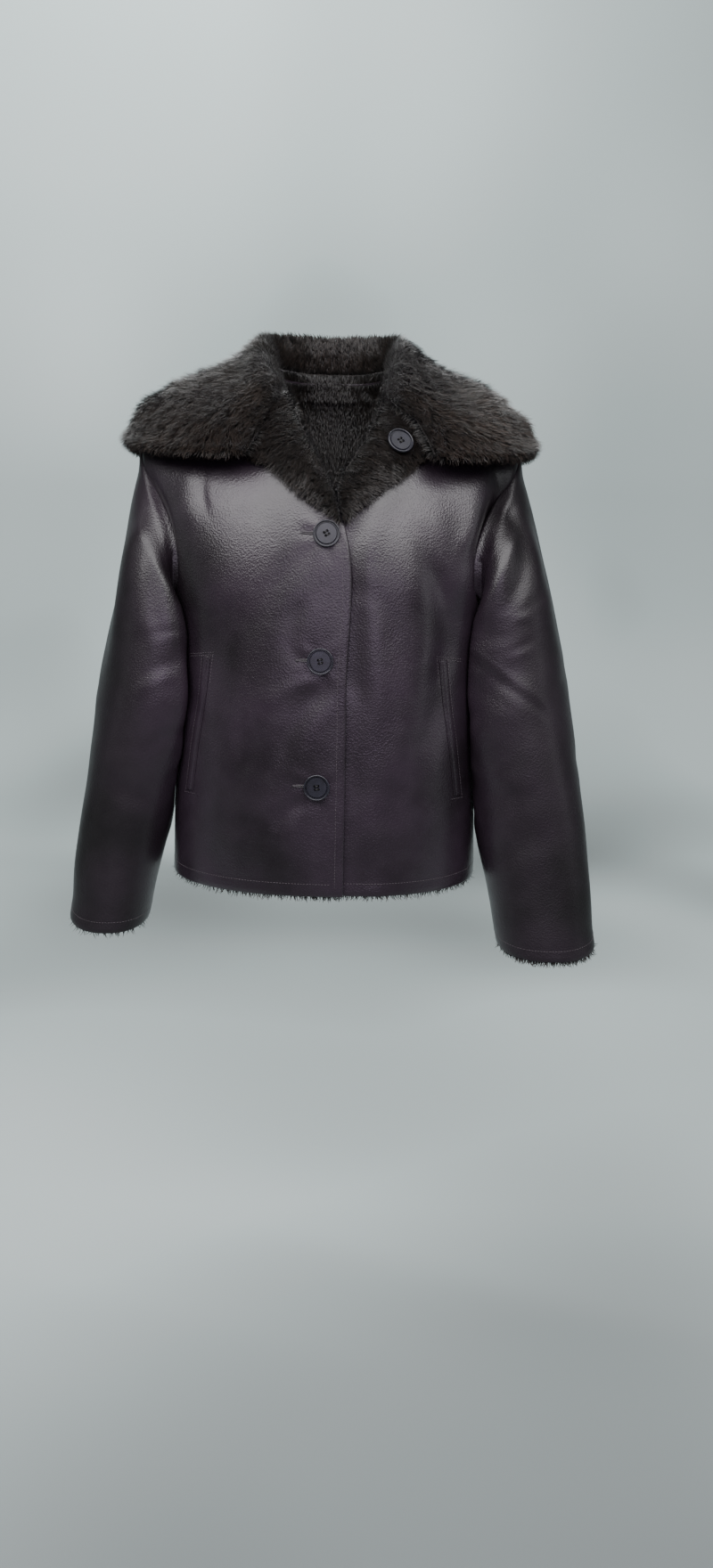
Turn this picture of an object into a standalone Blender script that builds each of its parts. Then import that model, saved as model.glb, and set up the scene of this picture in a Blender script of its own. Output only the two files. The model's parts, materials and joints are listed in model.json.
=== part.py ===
"""Short jacket of bonded faux shearling, worn and buttoned: leather face out, pile inside, wide fur collar.

Metres, +Z up. The origin is the middle of the neck base, where the wearer holds the jacket.
The front faces -Y and the wearer's left is +X.
"""

import math

import bmesh
import bpy
import numpy as np
from mathutils import Matrix, Vector
from mathutils.bvhtree import BVHTree

# Cloth and seams
WALL = 0.005  # leather face with its clipped pile
SEAM = 0.00025  # each piece stops this far short of a seam line
LAYER_GAP = 0.0006  # between two layers that lie on each other

# Cells of each panel: a front's rows and the back's meet the sleeve's columns at the armhole
FRONT_ROWS = 24
FRONT_COLUMNS = 12
BACK_ROWS = 24
BACK_NECK_COLUMNS = 10
BACK_SHOULDER_COLUMNS = 7
BACK_COLUMNS = BACK_NECK_COLUMNS + 2 * BACK_SHOULDER_COLUMNS

# Torso: half width and depth of its outline at each height
TORSO = (
    # z, half width, depth in front, depth behind
    (-0.590, 0.1835, 0.1300, 0.1260),
    (-0.530, 0.1825, 0.1310, 0.1250),
    (-0.450, 0.1795, 0.1325, 0.1230),
    (-0.350, 0.1765, 0.1330, 0.1215),
    (-0.270, 0.1830, 0.1320, 0.1220),
    (-0.200, 0.2060, 0.1300, 0.1230),
    (-0.120, 0.2360, 0.1280, 0.1230),
    (0.060, 0.2500, 0.1260, 0.1220),
)
TORSO_POWER = 2.3  # 2 is an ellipse, more is squarer
FRONT_ROUNDING = 0.250  # height over which the chest rounds back to the shoulder seam
FRONT_ROUNDING_POWER = 0.70
BACK_ROUNDING = 0.180
SHOULDER = (
    # x, z of the shoulder line
    (0.000, 0.0400),
    (0.020, 0.0358),
    (0.045, 0.0245),
    (0.068, 0.0100),
    (0.140, -0.0160),
    (0.185, -0.0335),
    (0.207, -0.0470),
    (0.218, -0.0620),
    (0.2240, -0.0800),
    (0.2280, -0.1000),
)
NECK_X = 0.068
NECK_BACK_Y = 0.066
SHOULDER_TIP_X = 0.2215
ARMPIT_Z = -0.275
HEM_FRONT_Z = -0.5780
HEM_SIDE_Z = -0.5700
HEM_BACK_Z = -0.5720

# Front edges: x is measured to the other side of the middle, z upward
RIGHT_EDGE = (
    (-0.0240, HEM_FRONT_Z),
    (-0.0235, -0.3500),
    (-0.0200, -0.1740),
    (-0.0040, -0.1290),
    (0.0210, -0.0870),
    (0.0480, -0.0380),
    (0.0600, -0.0100),
    (NECK_X, 0.0098),
)
LEFT_EDGE = (
    (-0.0130, HEM_FRONT_Z),
    (-0.0130, -0.3500),
    (-0.0100, -0.1760),
    (0.0090, -0.1290),
    (0.0350, -0.0870),
    (0.0560, -0.0380),
    (0.0640, -0.0100),
    (NECK_X, 0.0098),
)
EDGE_ROWS = (0.00, 0.38, 0.66, 0.74, 0.82, 0.90, 0.96, 1.00)
UNDER_DEPTH = 0.0064  # the left front drops this far to pass under the right one
UNDER_FROM_X = 0.050
UNDER_FULL_X = 0.028

# Armholes
ARMHOLE_FRONT = (
    # x, z
    (0.1790, -0.2640),
    (0.1725, -0.2400),
    (0.1740, -0.2020),
    (0.1870, -0.1520),
    (0.2040, -0.1200),
    (0.2160, -0.0950),
)
ARMHOLE_BACK = (
    (0.1790, -0.2640),
    (0.1740, -0.2400),
    (0.1780, -0.2000),
    (0.1910, -0.1500),
    (0.2060, -0.1180),
    (0.2165, -0.0950),
)
SIDE_ROWS = 0.50  # share of a panel's rows below the armpit
TURN_STEP = 0.01  # steps that measure the torso's slope
HEIGHT_STEP = 0.002
OWN_NORMALS_Z = -0.160  # from here down a panel's walls follow the torso's own slope
OWN_NORMALS_BLEND = 0.040

# Sleeves: the outline on the side away from the body and on the body's side, at each height
SLEEVE_RIGHT = (
    # z, outer x, inner x, middle y, half depth, drop of the front, turn of the front inward
    (-0.300, 0.2610, 0.1540, -0.0110, 0.0840, 0.000, 0.340),
    (-0.345, 0.2700, 0.1440, -0.0140, 0.0840, 0.001, 0.420),
    (-0.400, 0.2770, 0.1500, -0.0150, 0.0790, 0.003, 0.400),
    (-0.450, 0.2860, 0.1650, -0.0150, 0.0710, 0.004, 0.280),
    (-0.510, 0.2950, 0.1830, -0.0170, 0.0630, 0.006, 0.180),
    (-0.570, 0.3030, 0.1990, -0.0210, 0.0580, 0.008, 0.120),
    (-0.628, 0.3070, 0.2110, -0.0240, 0.0550, 0.013, 0.100),
)
SLEEVE_LEFT = (
    (-0.300, 0.2790, 0.1590, -0.0080, 0.0800, 0.000, 0.300),
    (-0.345, 0.2880, 0.1540, -0.0120, 0.0780, 0.001, 0.340),
    (-0.400, 0.2975, 0.1570, -0.0180, 0.0730, 0.003, 0.320),
    (-0.450, 0.3050, 0.1670, -0.0250, 0.0670, 0.004, 0.240),
    (-0.510, 0.3130, 0.1790, -0.0330, 0.0590, 0.006, 0.160),
    (-0.580, 0.3210, 0.1960, -0.0420, 0.0530, 0.008, 0.080),
    (-0.646, 0.3270, 0.2090, -0.0510, 0.0490, 0.013, 0.040),
)
SLEEVE_POWER = 2.3
CAP_ROWS = 8
TUBE_ROWS = 15
CAP_REACH_TOP = 0.064  # how far the shoulder's direction is felt in the sleeve head
CAP_REACH_UNDER = 0.012
CAP_LEAVES_TOP = (0.50, 0.0, -1.20)  # direction out of the armhole at the shoulder tip
CAP_LEAVES_SIDE = (1.20, 0.0, -0.56)
ARMHOLE_GAP = 0.0008
BODY_CLEARANCE = 0.0022
SCOOP_TOP_Z = -0.200  # below this the sleeve lies against the body

# Folds of the sleeves: a trough where depth is above zero, a ridge below it
SLEEVE_FOLDS = (
    # side, down 0-1, around 0-1, half width down, half width around, slant, depth
    (1, 0.42, 0.25, 0.030, 0.130, 0.50, 0.0045),
    (1, 0.49, 0.25, 0.035, 0.130, 0.50, -0.0025),
    (1, 0.30, 0.25, 0.040, 0.100, -0.30, 0.0025),
    (1, 0.64, 0.30, 0.040, 0.120, 0.25, 0.0025),
    (1, 0.52, 0.72, 0.040, 0.140, -0.30, 0.0040),
    (-1, 0.38, 0.24, 0.040, 0.120, 0.30, 0.0030),
    (-1, 0.48, 0.22, 0.045, 0.120, 0.30, -0.0020),
    (-1, 0.50, 0.74, 0.040, 0.140, -0.28, 0.0040),
    (-1, 0.68, 0.28, 0.045, 0.120, 0.20, 0.0025),
)

# Collar: six points of its fur face at each station from the middle of the back to the gorge
COLLAR = (
    # seam, stand, roll, upper fall, lower fall, edge
    (
        (0.000, 0.058, 0.0185), (0.000, 0.064, 0.042), (0.000, 0.083, 0.065),
        (0.000, 0.110, 0.040), (0.000, 0.131, -0.028), (0.000, 0.143, -0.096),
    ),
    (
        (0.033, 0.050, 0.0180), (0.036, 0.055, 0.042), (0.043, 0.074, 0.065),
        (0.064, 0.100, 0.039), (0.087, 0.120, -0.026), (0.100, 0.131, -0.094),
    ),
    (
        (0.054, 0.030, 0.0180), (0.059, 0.033, 0.040), (0.069, 0.046, 0.061),
        (0.100, 0.068, 0.034), (0.148, 0.086, -0.018), (0.182, 0.090, -0.088),
    ),
    (
        (0.060, 0.009, 0.0160), (0.065, 0.010, 0.035), (0.078, 0.012, 0.054),
        (0.113, 0.026, 0.028), (0.180, 0.036, -0.004), (0.236, 0.034, -0.076),
    ),
    (
        (0.060, -0.010, 0.0100), (0.064, -0.010, 0.026), (0.078, -0.012, 0.043),
        (0.115, -0.010, 0.021), (0.186, -0.008, -0.008), (0.240, -0.010, -0.072),
    ),
    (
        (0.0560, -0.026, 0.0010), (0.062, -0.028, 0.012), (0.074, -0.034, 0.023),
        (0.109, -0.048, -0.003), (0.167, -0.062, -0.036), (0.216, -0.064, -0.082),
    ),
    (
        (0.0510, -0.044, -0.0120), (0.057, -0.048, -0.005), (0.068, -0.056, 0.003),
        (0.097, -0.080, -0.024), (0.131, -0.098, -0.056), (0.156, -0.108, -0.090),
    ),
    (
        (0.0480, -0.0600, -0.0290), (0.0500, -0.0660, -0.0250), (0.0580, -0.0760, -0.0240),
        (0.0710, -0.0900, -0.042), (0.0860, -0.1040, -0.065), (0.1020, -0.1200, -0.090),
    ),
)
FRONT_SHIFT = 0.0075  # the opening sits this far to the wearer's left
COLLAR_COLUMNS = 44
COLLAR_CLEARANCE = 0.0030
COLLAR_ROWS = 14
COLLAR_THICK = (
    # share of the way from seam to edge, thickness
    (0.00, 0.0070),
    (0.20, 0.0080),
    (0.34, 0.0080),
    (0.50, 0.0125),
    (0.90, 0.0140),
    (1.00, 0.0110),
)

# Lapels: the fur side of each front, turned back; x toward that front's own side
LAPEL_RIGHT = (
    # roll line x, z and outer edge x, z, from the lower end up
    (-0.0150, -0.1620, -0.0155, -0.1650),
    (-0.0105, -0.1440, 0.0010, -0.1530),
    (-0.0010, -0.1180, 0.0230, -0.1400),
    (0.0130, -0.0930, 0.0420, -0.1240),
    (0.0270, -0.0660, 0.0640, -0.1060),
    (0.0390, -0.0370, 0.0860, -0.1000),
)
LAPEL_LEFT = (
    (0.0185, -0.1600, 0.0200, -0.1640),
    (0.0125, -0.1440, 0.0320, -0.1500),
    (0.0140, -0.1210, 0.0500, -0.1360),
    (0.0290, -0.0940, 0.0720, -0.1190),
    (0.0440, -0.0660, 0.0900, -0.1070),
    (0.0550, -0.0340, 0.1030, -0.0970),
)
LAPEL_TOP_RISE = 0.0080  # the upper edge bows up to follow the collar's end
LAPEL_THICK = 0.0120
LAPEL_ROWS = 12
LAPEL_COLUMNS = 6

# Buttons
BUTTON_RADIUS = 0.0145
BUTTON_THICK = 0.0042
BUTTON_RIM = 0.0026
BUTTON_DISH = 0.0011
BUTTON_HOLE_RADIUS = 0.0012
BUTTON_HOLE_OUT = 0.0026
BUTTON_SEGMENTS = 24
BUTTON_HOLE_SEGMENTS = 8
BORE = ((0, -0.001), (BUTTON_HOLE_RADIUS, -0.001), (BUTTON_HOLE_RADIUS, 0.006), (0, 0.006))
BUTTON_SHANK = 0.0010  # thread between a front's face and the button
LAPEL_BUTTON_SHANK = 0.0006
BUTTONS = (
    # name, x, z
    ("button_top", 0.0005, -0.1775),
    ("button_middle", -0.0040, -0.3140),
    ("button_bottom", -0.0060, -0.4530),
)
LAPEL_BUTTON = ("button_lapel", 0.0735, -0.0830)

# Pocket mouths
POCKET_MOUTH = (
    # x, z down the mouth
    (0.1370, -0.3130),
    (0.1420, -0.3560),
    (0.1510, -0.4100),
    (0.1590, -0.4680),
)
POCKET_WELT_WIDTH = 0.009
POCKET_WELT_THICK = 0.0016
POCKET_ROWS = 10

LEATHER_RGB = (0.045, 0.036, 0.042)
FUR_RGB = (0.020, 0.013, 0.011)
BUTTON_RGB = (0.050, 0.050, 0.062)


def curve(knots, rows, at):
    """A smooth line through the rows, one row a knot, read at the places asked for."""
    knots = np.asarray(knots, float)
    rows = np.asarray(rows, float)
    at = np.clip(np.asarray(at, float), knots[0], knots[-1])
    slope = np.gradient(rows, knots, axis=0)
    low = np.clip(np.searchsorted(knots, at, side="right") - 1, 0, len(knots) - 2)
    span = knots[low + 1] - knots[low]
    t = (at - knots[low]) / span
    if rows.ndim > 1:
        t = t[..., None]
        span = span[..., None]
    start = rows[low] * (1 + 2 * t) * (1 - t) ** 2 + slope[low] * span * t * (1 - t) ** 2
    end = rows[low + 1] * t * t * (3 - 2 * t) + slope[low + 1] * span * t * t * (t - 1)
    return start + end


def smooth_step(t):
    t = np.clip(t, 0.0, 1.0)
    return t * t * (3 - 2 * t)


def along(rows, count):
    """The polyline through the rows, resampled at even distances."""
    rows = np.asarray(rows, float)
    knots = np.concatenate([[0], np.cumsum(np.linalg.norm(np.diff(rows, axis=0), axis=1))])
    return curve(knots, rows, np.linspace(0, knots[-1], count))


def torso_sizes(z):
    table = np.array(TORSO)
    return [curve(table[:, 0], table[:, k], z) for k in (1, 2, 3)]


def shoulder_z(x):
    table = np.array(SHOULDER)
    return curve(table[:, 0], table[:, 1], np.abs(x))


def torso_point(turn, z, behind):
    """The leather face at a turn from the middle (0) to the side (pi / 2) and at a height."""
    half, front, back = torso_sizes(z)
    x = half * np.sin(turn)
    depth = back if behind else -front
    section = np.maximum(1 - np.abs(np.sin(turn)) ** TORSO_POWER, 0) ** (1 / TORSO_POWER)
    rounding = BACK_ROUNDING if behind else FRONT_ROUNDING
    share = np.clip((shoulder_z(x) - z) / rounding, 0, 1)
    if behind:
        rounded = np.sqrt(1 - (1 - share) ** 2)
    else:
        rounded = np.sin(math.pi / 2 * share**FRONT_ROUNDING_POWER)
    y = depth * section * rounded
    return np.stack([x, y, np.broadcast_to(z, x.shape)], axis=-1)


def turn_of(x, z):
    half = torso_sizes(np.asarray(z, float))[0]
    return np.arcsin(np.clip(np.asarray(x) / half, -1, 1))


def torso_normal(x, z, behind):
    """The outward unit normal of the leather face above a place x, z."""
    turn = turn_of(x, z)
    high = np.minimum(turn + TURN_STEP, math.pi / 2)
    low = np.maximum(high - 2 * TURN_STEP, -math.pi / 2)
    over = torso_point(high, z, behind) - torso_point(low, z, behind)
    up = torso_point(turn, z + HEIGHT_STEP, behind) - torso_point(turn, z - HEIGHT_STEP, behind)
    normal = np.cross(up, over) if behind else np.cross(over, up)
    return normal / np.linalg.norm(normal, axis=-1, keepdims=True)


def side_line(armhole, hem_z, rows):
    """Turn and height up the side seam and then the armhole to the shoulder tip."""
    tip = (SHOULDER_TIP_X, float(shoulder_z(SHOULDER_TIP_X)))
    points = [(turn_of(x, z), z) for x, z in armhole + (tip,)]
    scoop = np.array([(math.pi / 2, ARMPIT_Z)] + points)
    length = np.concatenate([[0], np.cumsum(np.linalg.norm(np.diff(scoop * (0.18, 1), axis=0), axis=1))])
    low = np.linspace(0, 1, int(rows * SIDE_ROWS) + 1)
    seam = np.stack([np.full(low.size, math.pi / 2), hem_z + (ARMPIT_Z - hem_z) * low], axis=1)
    high = curve(length, scoop, np.linspace(0, length[-1], rows - low.size + 2))
    return np.concatenate([seam, high[1:]])


def patch(bottom, top, left, right):
    """The grid between four border lines that meet at their corners."""
    across = np.linspace(0, 1, len(bottom))[None, :, None]
    up = np.linspace(0, 1, len(left))[:, None, None]
    ruled = (1 - up) * bottom[None] + up * top[None]
    ruled = ruled + (1 - across) * left[:, None] + across * right[:, None]
    corners = (1 - up) * ((1 - across) * bottom[0] + across * bottom[-1])
    return ruled - corners - up * ((1 - across) * top[0] + across * top[-1])


def shoulder_line(count):
    """Points x, z at even distances along the shoulder seam, from the neck to the tip."""
    x = np.linspace(NECK_X, SHOULDER_TIP_X, 40)
    return along(np.stack([x, shoulder_z(x)], axis=1), count + 1)


def front_grid(edge, under, rows, columns):
    """The leather face of one front on the +X side, from its free edge to the side."""
    right = side_line(ARMHOLE_FRONT, HEM_SIDE_Z, rows)
    left_xz = curve(EDGE_ROWS, edge, np.linspace(0, 1, rows + 1))
    left = np.stack([turn_of(left_xz[:, 0], left_xz[:, 1]), left_xz[:, 1]], axis=1)
    t = np.linspace(0, 1, columns + 1)
    bottom_z = HEM_FRONT_Z + (HEM_SIDE_Z - HEM_FRONT_Z) * t**2
    bottom = np.stack([left[0, 0] + (right[0, 0] - left[0, 0]) * t, bottom_z], axis=1)
    seam = shoulder_line(columns)
    top = np.stack([turn_of(seam[:, 0], seam[:, 1]), seam[:, 1]], axis=1)
    left[-1] = top[0]
    cells = patch(bottom, top, left, right)
    points = torso_point(cells[..., 0], cells[..., 1], False)
    if under:
        drop = smooth_step((UNDER_FROM_X - points[..., 0]) / (UNDER_FROM_X - UNDER_FULL_X))
        points[..., 1] += UNDER_DEPTH * drop
    return points


def back_neckline(count):
    """Turn and height of the back neckline, from one neck point over the middle to the other."""
    round_neck = np.linspace(-math.pi / 2, math.pi / 2, count)
    x = NECK_X * np.sin(round_neck)
    half, _, back = torso_sizes(np.zeros(count))
    section = (1 - np.abs(x / half) ** TORSO_POWER) ** (1 / TORSO_POWER)
    reach = NECK_BACK_Y * np.cos(round_neck) / (back * section)
    z = shoulder_z(x) - BACK_ROUNDING * (1 - np.sqrt(1 - reach**2))
    return np.stack([turn_of(x, z), z], axis=1)


def back_grid(rows, neck_columns, shoulder_columns):
    """The leather face of the back, from the wearer's right to the left."""
    side = side_line(ARMHOLE_BACK, HEM_SIDE_Z, rows)
    other = side * (-1, 1)
    neck = back_neckline(neck_columns + 1)
    seam = shoulder_line(shoulder_columns)[1:]
    shoulder = np.stack([turn_of(seam[:, 0], seam[:, 1]), seam[:, 1]], axis=1)
    shoulder[-1] = side[-1]
    top = np.concatenate([shoulder[::-1] * (-1, 1), neck, shoulder])
    t = np.linspace(-1, 1, len(top))
    bottom_z = HEM_BACK_Z + (HEM_SIDE_Z - HEM_BACK_Z) * t**2
    bottom = np.stack([math.pi / 2 * t, bottom_z], axis=1)
    cells = patch(bottom, top, other, side)
    return torso_point(cells[..., 0], cells[..., 1], True)


def normals_of(grid, wrap=False):
    """The unit normal at each point of a grid, from its rows and columns."""
    down = np.gradient(grid, axis=0)
    if wrap:
        over = (np.roll(grid, -1, axis=1) - np.roll(grid, 1, axis=1)) / 2
    else:
        over = np.gradient(grid, axis=1)
    normal = np.cross(over, down)
    length = np.linalg.norm(normal, axis=-1, keepdims=True)
    return normal / np.maximum(length, 1e-12)


def pulled_in(grid, sides, gap):
    """The grid with the named borders moved inward over its own surface."""
    grid = grid.copy()
    views = {"bottom": (0, 1, 0), "top": (-1, -2, 0), "left": (0, 1, 1), "right": (-1, -2, 1)}
    for side in sides:
        edge, inner, axis = views[side]
        border = grid[edge] if axis == 0 else grid[:, edge]
        step = (grid[inner] if axis == 0 else grid[:, inner]) - border
        moved = border + step / np.linalg.norm(step, axis=-1, keepdims=True) * gap
        if axis == 0:
            grid[edge] = moved
        else:
            grid[:, edge] = moved
    return grid


def shell(name, face, lining, material, wrap=False):
    """A closed wall between two grids of the same size."""
    rows, columns = face.shape[:2]
    verts = np.concatenate([face.reshape(-1, 3), lining.reshape(-1, 3)])
    far = rows * columns
    last = columns if wrap else columns - 1
    faces = []
    for r in range(rows - 1):
        for c in range(last):
            n = (c + 1) % columns
            a, b, d, e = r * columns + c, r * columns + n, (r + 1) * columns + n, (r + 1) * columns + c
            faces.append((a, b, d, e))
            faces.append((far + e, far + d, far + b, far + a))
    for r, turned in ((0, False), (rows - 1, True)):
        for c in range(last):
            a, b = r * columns + c, r * columns + (c + 1) % columns
            faces.append((a, b, far + b, far + a) if turned else (b, a, far + a, far + b))
    if not wrap:
        for c, turned in ((0, True), (columns - 1, False)):
            for r in range(rows - 1):
                a, b = r * columns + c, (r + 1) * columns + c
                faces.append((a, b, far + b, far + a) if turned else (b, a, far + a, far + b))
    mesh = bpy.data.meshes.new(name)
    mesh.from_pydata([tuple(map(float, v)) for v in verts], [], faces)
    tidy = bmesh.new()
    tidy.from_mesh(mesh)
    bmesh.ops.recalc_face_normals(tidy, faces=tidy.faces)
    tidy.to_mesh(mesh)
    tidy.free()
    return add(name, mesh, material)


def add(name, mesh, material):
    obj = bpy.data.objects.new(name, mesh)
    bpy.context.scene.collection.objects.link(obj)
    mesh.materials.append(material)
    for polygon in mesh.polygons:
        polygon.use_smooth = True
    return obj


def material(name, rgb, roughness):
    made = bpy.data.materials.new(name)
    made.use_nodes = True
    shader = made.node_tree.nodes["Principled BSDF"]
    shader.inputs["Base Color"].default_value = (*rgb, 1)
    shader.inputs["Roughness"].default_value = roughness
    return made


def mirrored(grid, side):
    return grid * (side, 1, 1)


def armhole_loop(front, back_half):
    """What lies on the armhole, from the shoulder tip down the front, round and up the back."""
    down = front[int(FRONT_ROWS * SIDE_ROWS):, -1][::-1]
    up = back_half[int(BACK_ROWS * SIDE_ROWS):, -1]
    return np.concatenate([down, up[1:-1]])


def seam_normals(grid, behind):
    """Outward normals of a panel, flat across its side and shoulder seams so that walls meet there."""
    normal = normals_of(grid)
    if (normal[5, grid.shape[1] // 2, 1] > 0) != behind:
        normal = -normal
    low = smooth_step((OWN_NORMALS_Z - grid[..., 2]) / OWN_NORMALS_BLEND)[..., None]
    normal = normal * (1 - low) + torso_normal(grid[..., 0], grid[..., 2], behind) * low
    below = int(len(grid) * SIDE_ROWS) + 1
    normal[:below, -1, 1] = 0
    normal[-1, :, 1] *= np.abs(grid[-1, :, 1]) > 0.002
    if behind:
        normal[:below, 0, 1] = 0
    return normal / np.linalg.norm(normal, axis=-1, keepdims=True)


def sleeve_grid(table, loop, side):
    """The leather face of a sleeve on the +X side: rows from the armhole to the cuff."""
    table = np.array(table)
    turn = np.linspace(0, 2 * math.pi, len(loop), endpoint=False)
    z = np.linspace(table[0, 0], table[-1, 0], TUBE_ROWS + 1)
    sizes = curve(-table[:, 0], table[:, 1:], -z)
    outer, inner, middle, depth, drop, inward = (sizes[:, k][:, None] for k in range(6))
    across = (outer - inner) / 2
    square = 2 / SLEEVE_POWER
    over = across * np.sign(np.cos(turn)) * np.abs(np.cos(turn)) ** square
    ahead = depth * np.sign(np.sin(turn)) * np.abs(np.sin(turn)) ** square
    x = (outer + inner) / 2 + over * np.cos(inward) - ahead * np.sin(inward)
    y = middle - ahead * np.cos(inward) - over * np.sin(inward)
    tube = np.stack([x, y, z[:, None] - drop * np.sin(turn)], axis=-1)
    high = (1 + np.cos(turn)) / 2
    reach = CAP_REACH_UNDER + (CAP_REACH_TOP - CAP_REACH_UNDER) * high**1.5
    steep = (high**2)[:, None]
    leave = np.array(CAP_LEAVES_SIDE) * (1 - steep) + np.array(CAP_LEAVES_TOP) * steep
    start = loop + leave * ARMHOLE_GAP
    leave = leave * reach[:, None]
    arrive = (tube[1] - tube[0]) / np.linalg.norm(tube[1] - tube[0], axis=-1, keepdims=True)
    fall = np.linalg.norm(tube[0] - start, axis=-1)
    arrive = arrive * fall[:, None] * 1.15
    t = np.linspace(0, 1, CAP_ROWS + 1)[:-1, None, None]
    cap = start * (1 + 2 * t) * (1 - t) ** 2 + leave * t * (1 - t) ** 2
    cap = cap + tube[0] * t * t * (3 - 2 * t) + arrive * t * t * (t - 1)
    grid = softened(np.concatenate([cap, tube]), 3)
    grid = folded(grid, side)
    return clear_of_torso(grid)


def softened(grid, rounds):
    """A sleeve evened out on the side away from the body, its two ends held."""
    share = np.cos(np.linspace(0, 2 * math.pi, grid.shape[1], endpoint=False))
    weight = smooth_step(share / 2 + 0.5)[None, :, None] * 0.5
    for _ in range(rounds):
        beside = (np.roll(grid, 1, axis=1) + np.roll(grid, -1, axis=1))[1:-1] / 2
        even = (grid[:-2] + grid[2:]) / 4 + beside / 2
        grid = np.concatenate([grid[:1], grid[1:-1] * (1 - weight) + even * weight, grid[-1:]])
    return grid


def folded(grid, side):
    """The sleeve with its main troughs and ridges pressed in along its normals."""
    normal = normals_of(grid, wrap=True)
    rows, columns = grid.shape[:2]
    down = np.linspace(0, 1, rows)[:, None]
    around = (np.arange(columns) / columns)[None, :]
    push = np.zeros((rows, columns))
    for fold_side, at, turn, wide, long, slant, depth in SLEEVE_FOLDS:
        if fold_side != side:
            continue
        off = (around - turn + 0.5) % 1 - 0.5
        line = down - at - slant * off
        push += depth * np.exp(-((line / wide) ** 2) - (off / long) ** 2)
    outward = np.sign(np.sum(normal * (grid - grid.mean(axis=1, keepdims=True))))
    return grid - normal * outward * push[..., None]


def clear_of_torso(grid):
    """The sleeve with every point beside the torso moved out until it is clear of it."""
    grid = grid.copy()
    x, y, z = grid[..., 0], grid[..., 1], grid[..., 2]
    half, front, back = torso_sizes(z)
    depth = np.where(y < 0, front, back)
    share = np.clip(np.abs(y) / depth, 0, 1)
    limit = half * (1 - share**TORSO_POWER) ** (1 / TORSO_POWER)
    holes = [np.array(hole[::-1]) for hole in (ARMHOLE_FRONT, ARMHOLE_BACK)]
    ahead, astern = (np.interp(-z, -hole[:, 1], hole[:, 0]) for hole in holes)
    opening = np.where(y < 0, ahead, astern)
    scooped = smooth_step((holes[0][-1, 1] - z) / (holes[0][-1, 1] - ARMPIT_Z))
    opening = np.where(z < ARMPIT_Z, half, opening + (half - opening) * scooped)
    row = np.arange(len(grid))[:, None]
    limit = np.minimum(limit, opening) + BODY_CLEARANCE * smooth_step(row / 3)
    held = (row > 0) & (z < SCOOP_TOP_Z)
    grid[..., 0] = np.where(held, np.maximum(x, limit), x)
    return grid


def tree_of(objects):
    verts, faces = [], []
    for obj in objects:
        base = len(verts)
        verts += [v.co.copy() for v in obj.data.vertices]
        faces += [[base + i for i in p.vertices] for p in obj.data.polygons]
    return BVHTree.FromPolygons(verts, faces)


def room_under(tree, points, inward):
    """How far each point can go inward before it meets the tree's surfaces."""
    found = np.full(points.shape[:2], 1.0)
    for r in range(points.shape[0]):
        for c in range(points.shape[1]):
            hit = tree.ray_cast(Vector(points[r, c]), Vector(inward[r, c]), 0.2)
            if hit[0] is not None:
                found[r, c] = hit[3]
    return found


def collar_grid(columns, rows):
    """The fur face of the collar: columns round the neck, rows from the seam to the edge."""
    half = np.array(COLLAR)
    whole = np.concatenate([half[::-1] * (-1, 1, 1), half[1:]])
    spread = np.linalg.norm(np.diff(whole[:, 4], axis=0), axis=1)
    spread = spread + np.linalg.norm(np.diff(whole[:, 1], axis=0), axis=1)
    knots = np.concatenate([[0], np.cumsum(spread)])
    at = np.linspace(0, knots[-1], columns + 1)
    stations = curve(knots, whole.reshape(len(whole), -1), at).reshape(columns + 1, -1, 3)
    face = np.stack([along(station, rows + 1) for station in stations], axis=1)
    face[..., 0] += FRONT_SHIFT * smooth_step(-face[..., 1] / 0.10)
    return face


def least_near(room):
    """The least of each value and its eight neighbours."""
    near = np.pad(room, 1, mode="edge")
    rows, columns = room.shape
    return np.min([near[r:r + rows, c:c + columns] for r in range(3) for c in range(3)], axis=0)


def spread(values):
    """Each value averaged with its eight neighbours, twice, and never made smaller."""
    soft = values
    for _ in range(2):
        near = np.pad(soft, 1, mode="edge")
        rows, columns = soft.shape
        soft = np.mean([near[r:r + rows, c:c + columns] for r in range(3) for c in range(3)], axis=0)
    return np.maximum(values, soft)


def collar_solid(name, tree, fur):
    face = collar_grid(COLLAR_COLUMNS, COLLAR_ROWS)
    table = np.array(COLLAR_THICK)
    share = np.linspace(0, 1, COLLAR_ROWS + 1)[:, None]
    thick = np.repeat(curve(table[:, 0], table[:, 1], share[:, 0])[:, None], COLLAR_COLUMNS + 1, axis=1)
    clearance = COLLAR_CLEARANCE * smooth_step(share * 3) + LAYER_GAP * 2
    for lift in (1, 1, 1, 0):
        normal = normals_of(face)
        if normal[COLLAR_ROWS // 2 + 3, COLLAR_COLUMNS // 2, 1] < 0:
            normal = -normal
        room = least_near(room_under(tree, face, -normal)) - clearance
        short = spread(np.maximum(thick - room, 0)) * smooth_step((share - 0.35) / 0.2)
        face = face + normal * short[..., None] * lift
    thick = np.minimum(thick, room)
    return shell(name, face, face - normal * thick[..., None], fur)


def chest(x, z):
    """The chest's face in front of which a lapel lies, and its outward normal."""
    return torso_point(turn_of(x, z), z, False), torso_normal(x, z, False)


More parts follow.
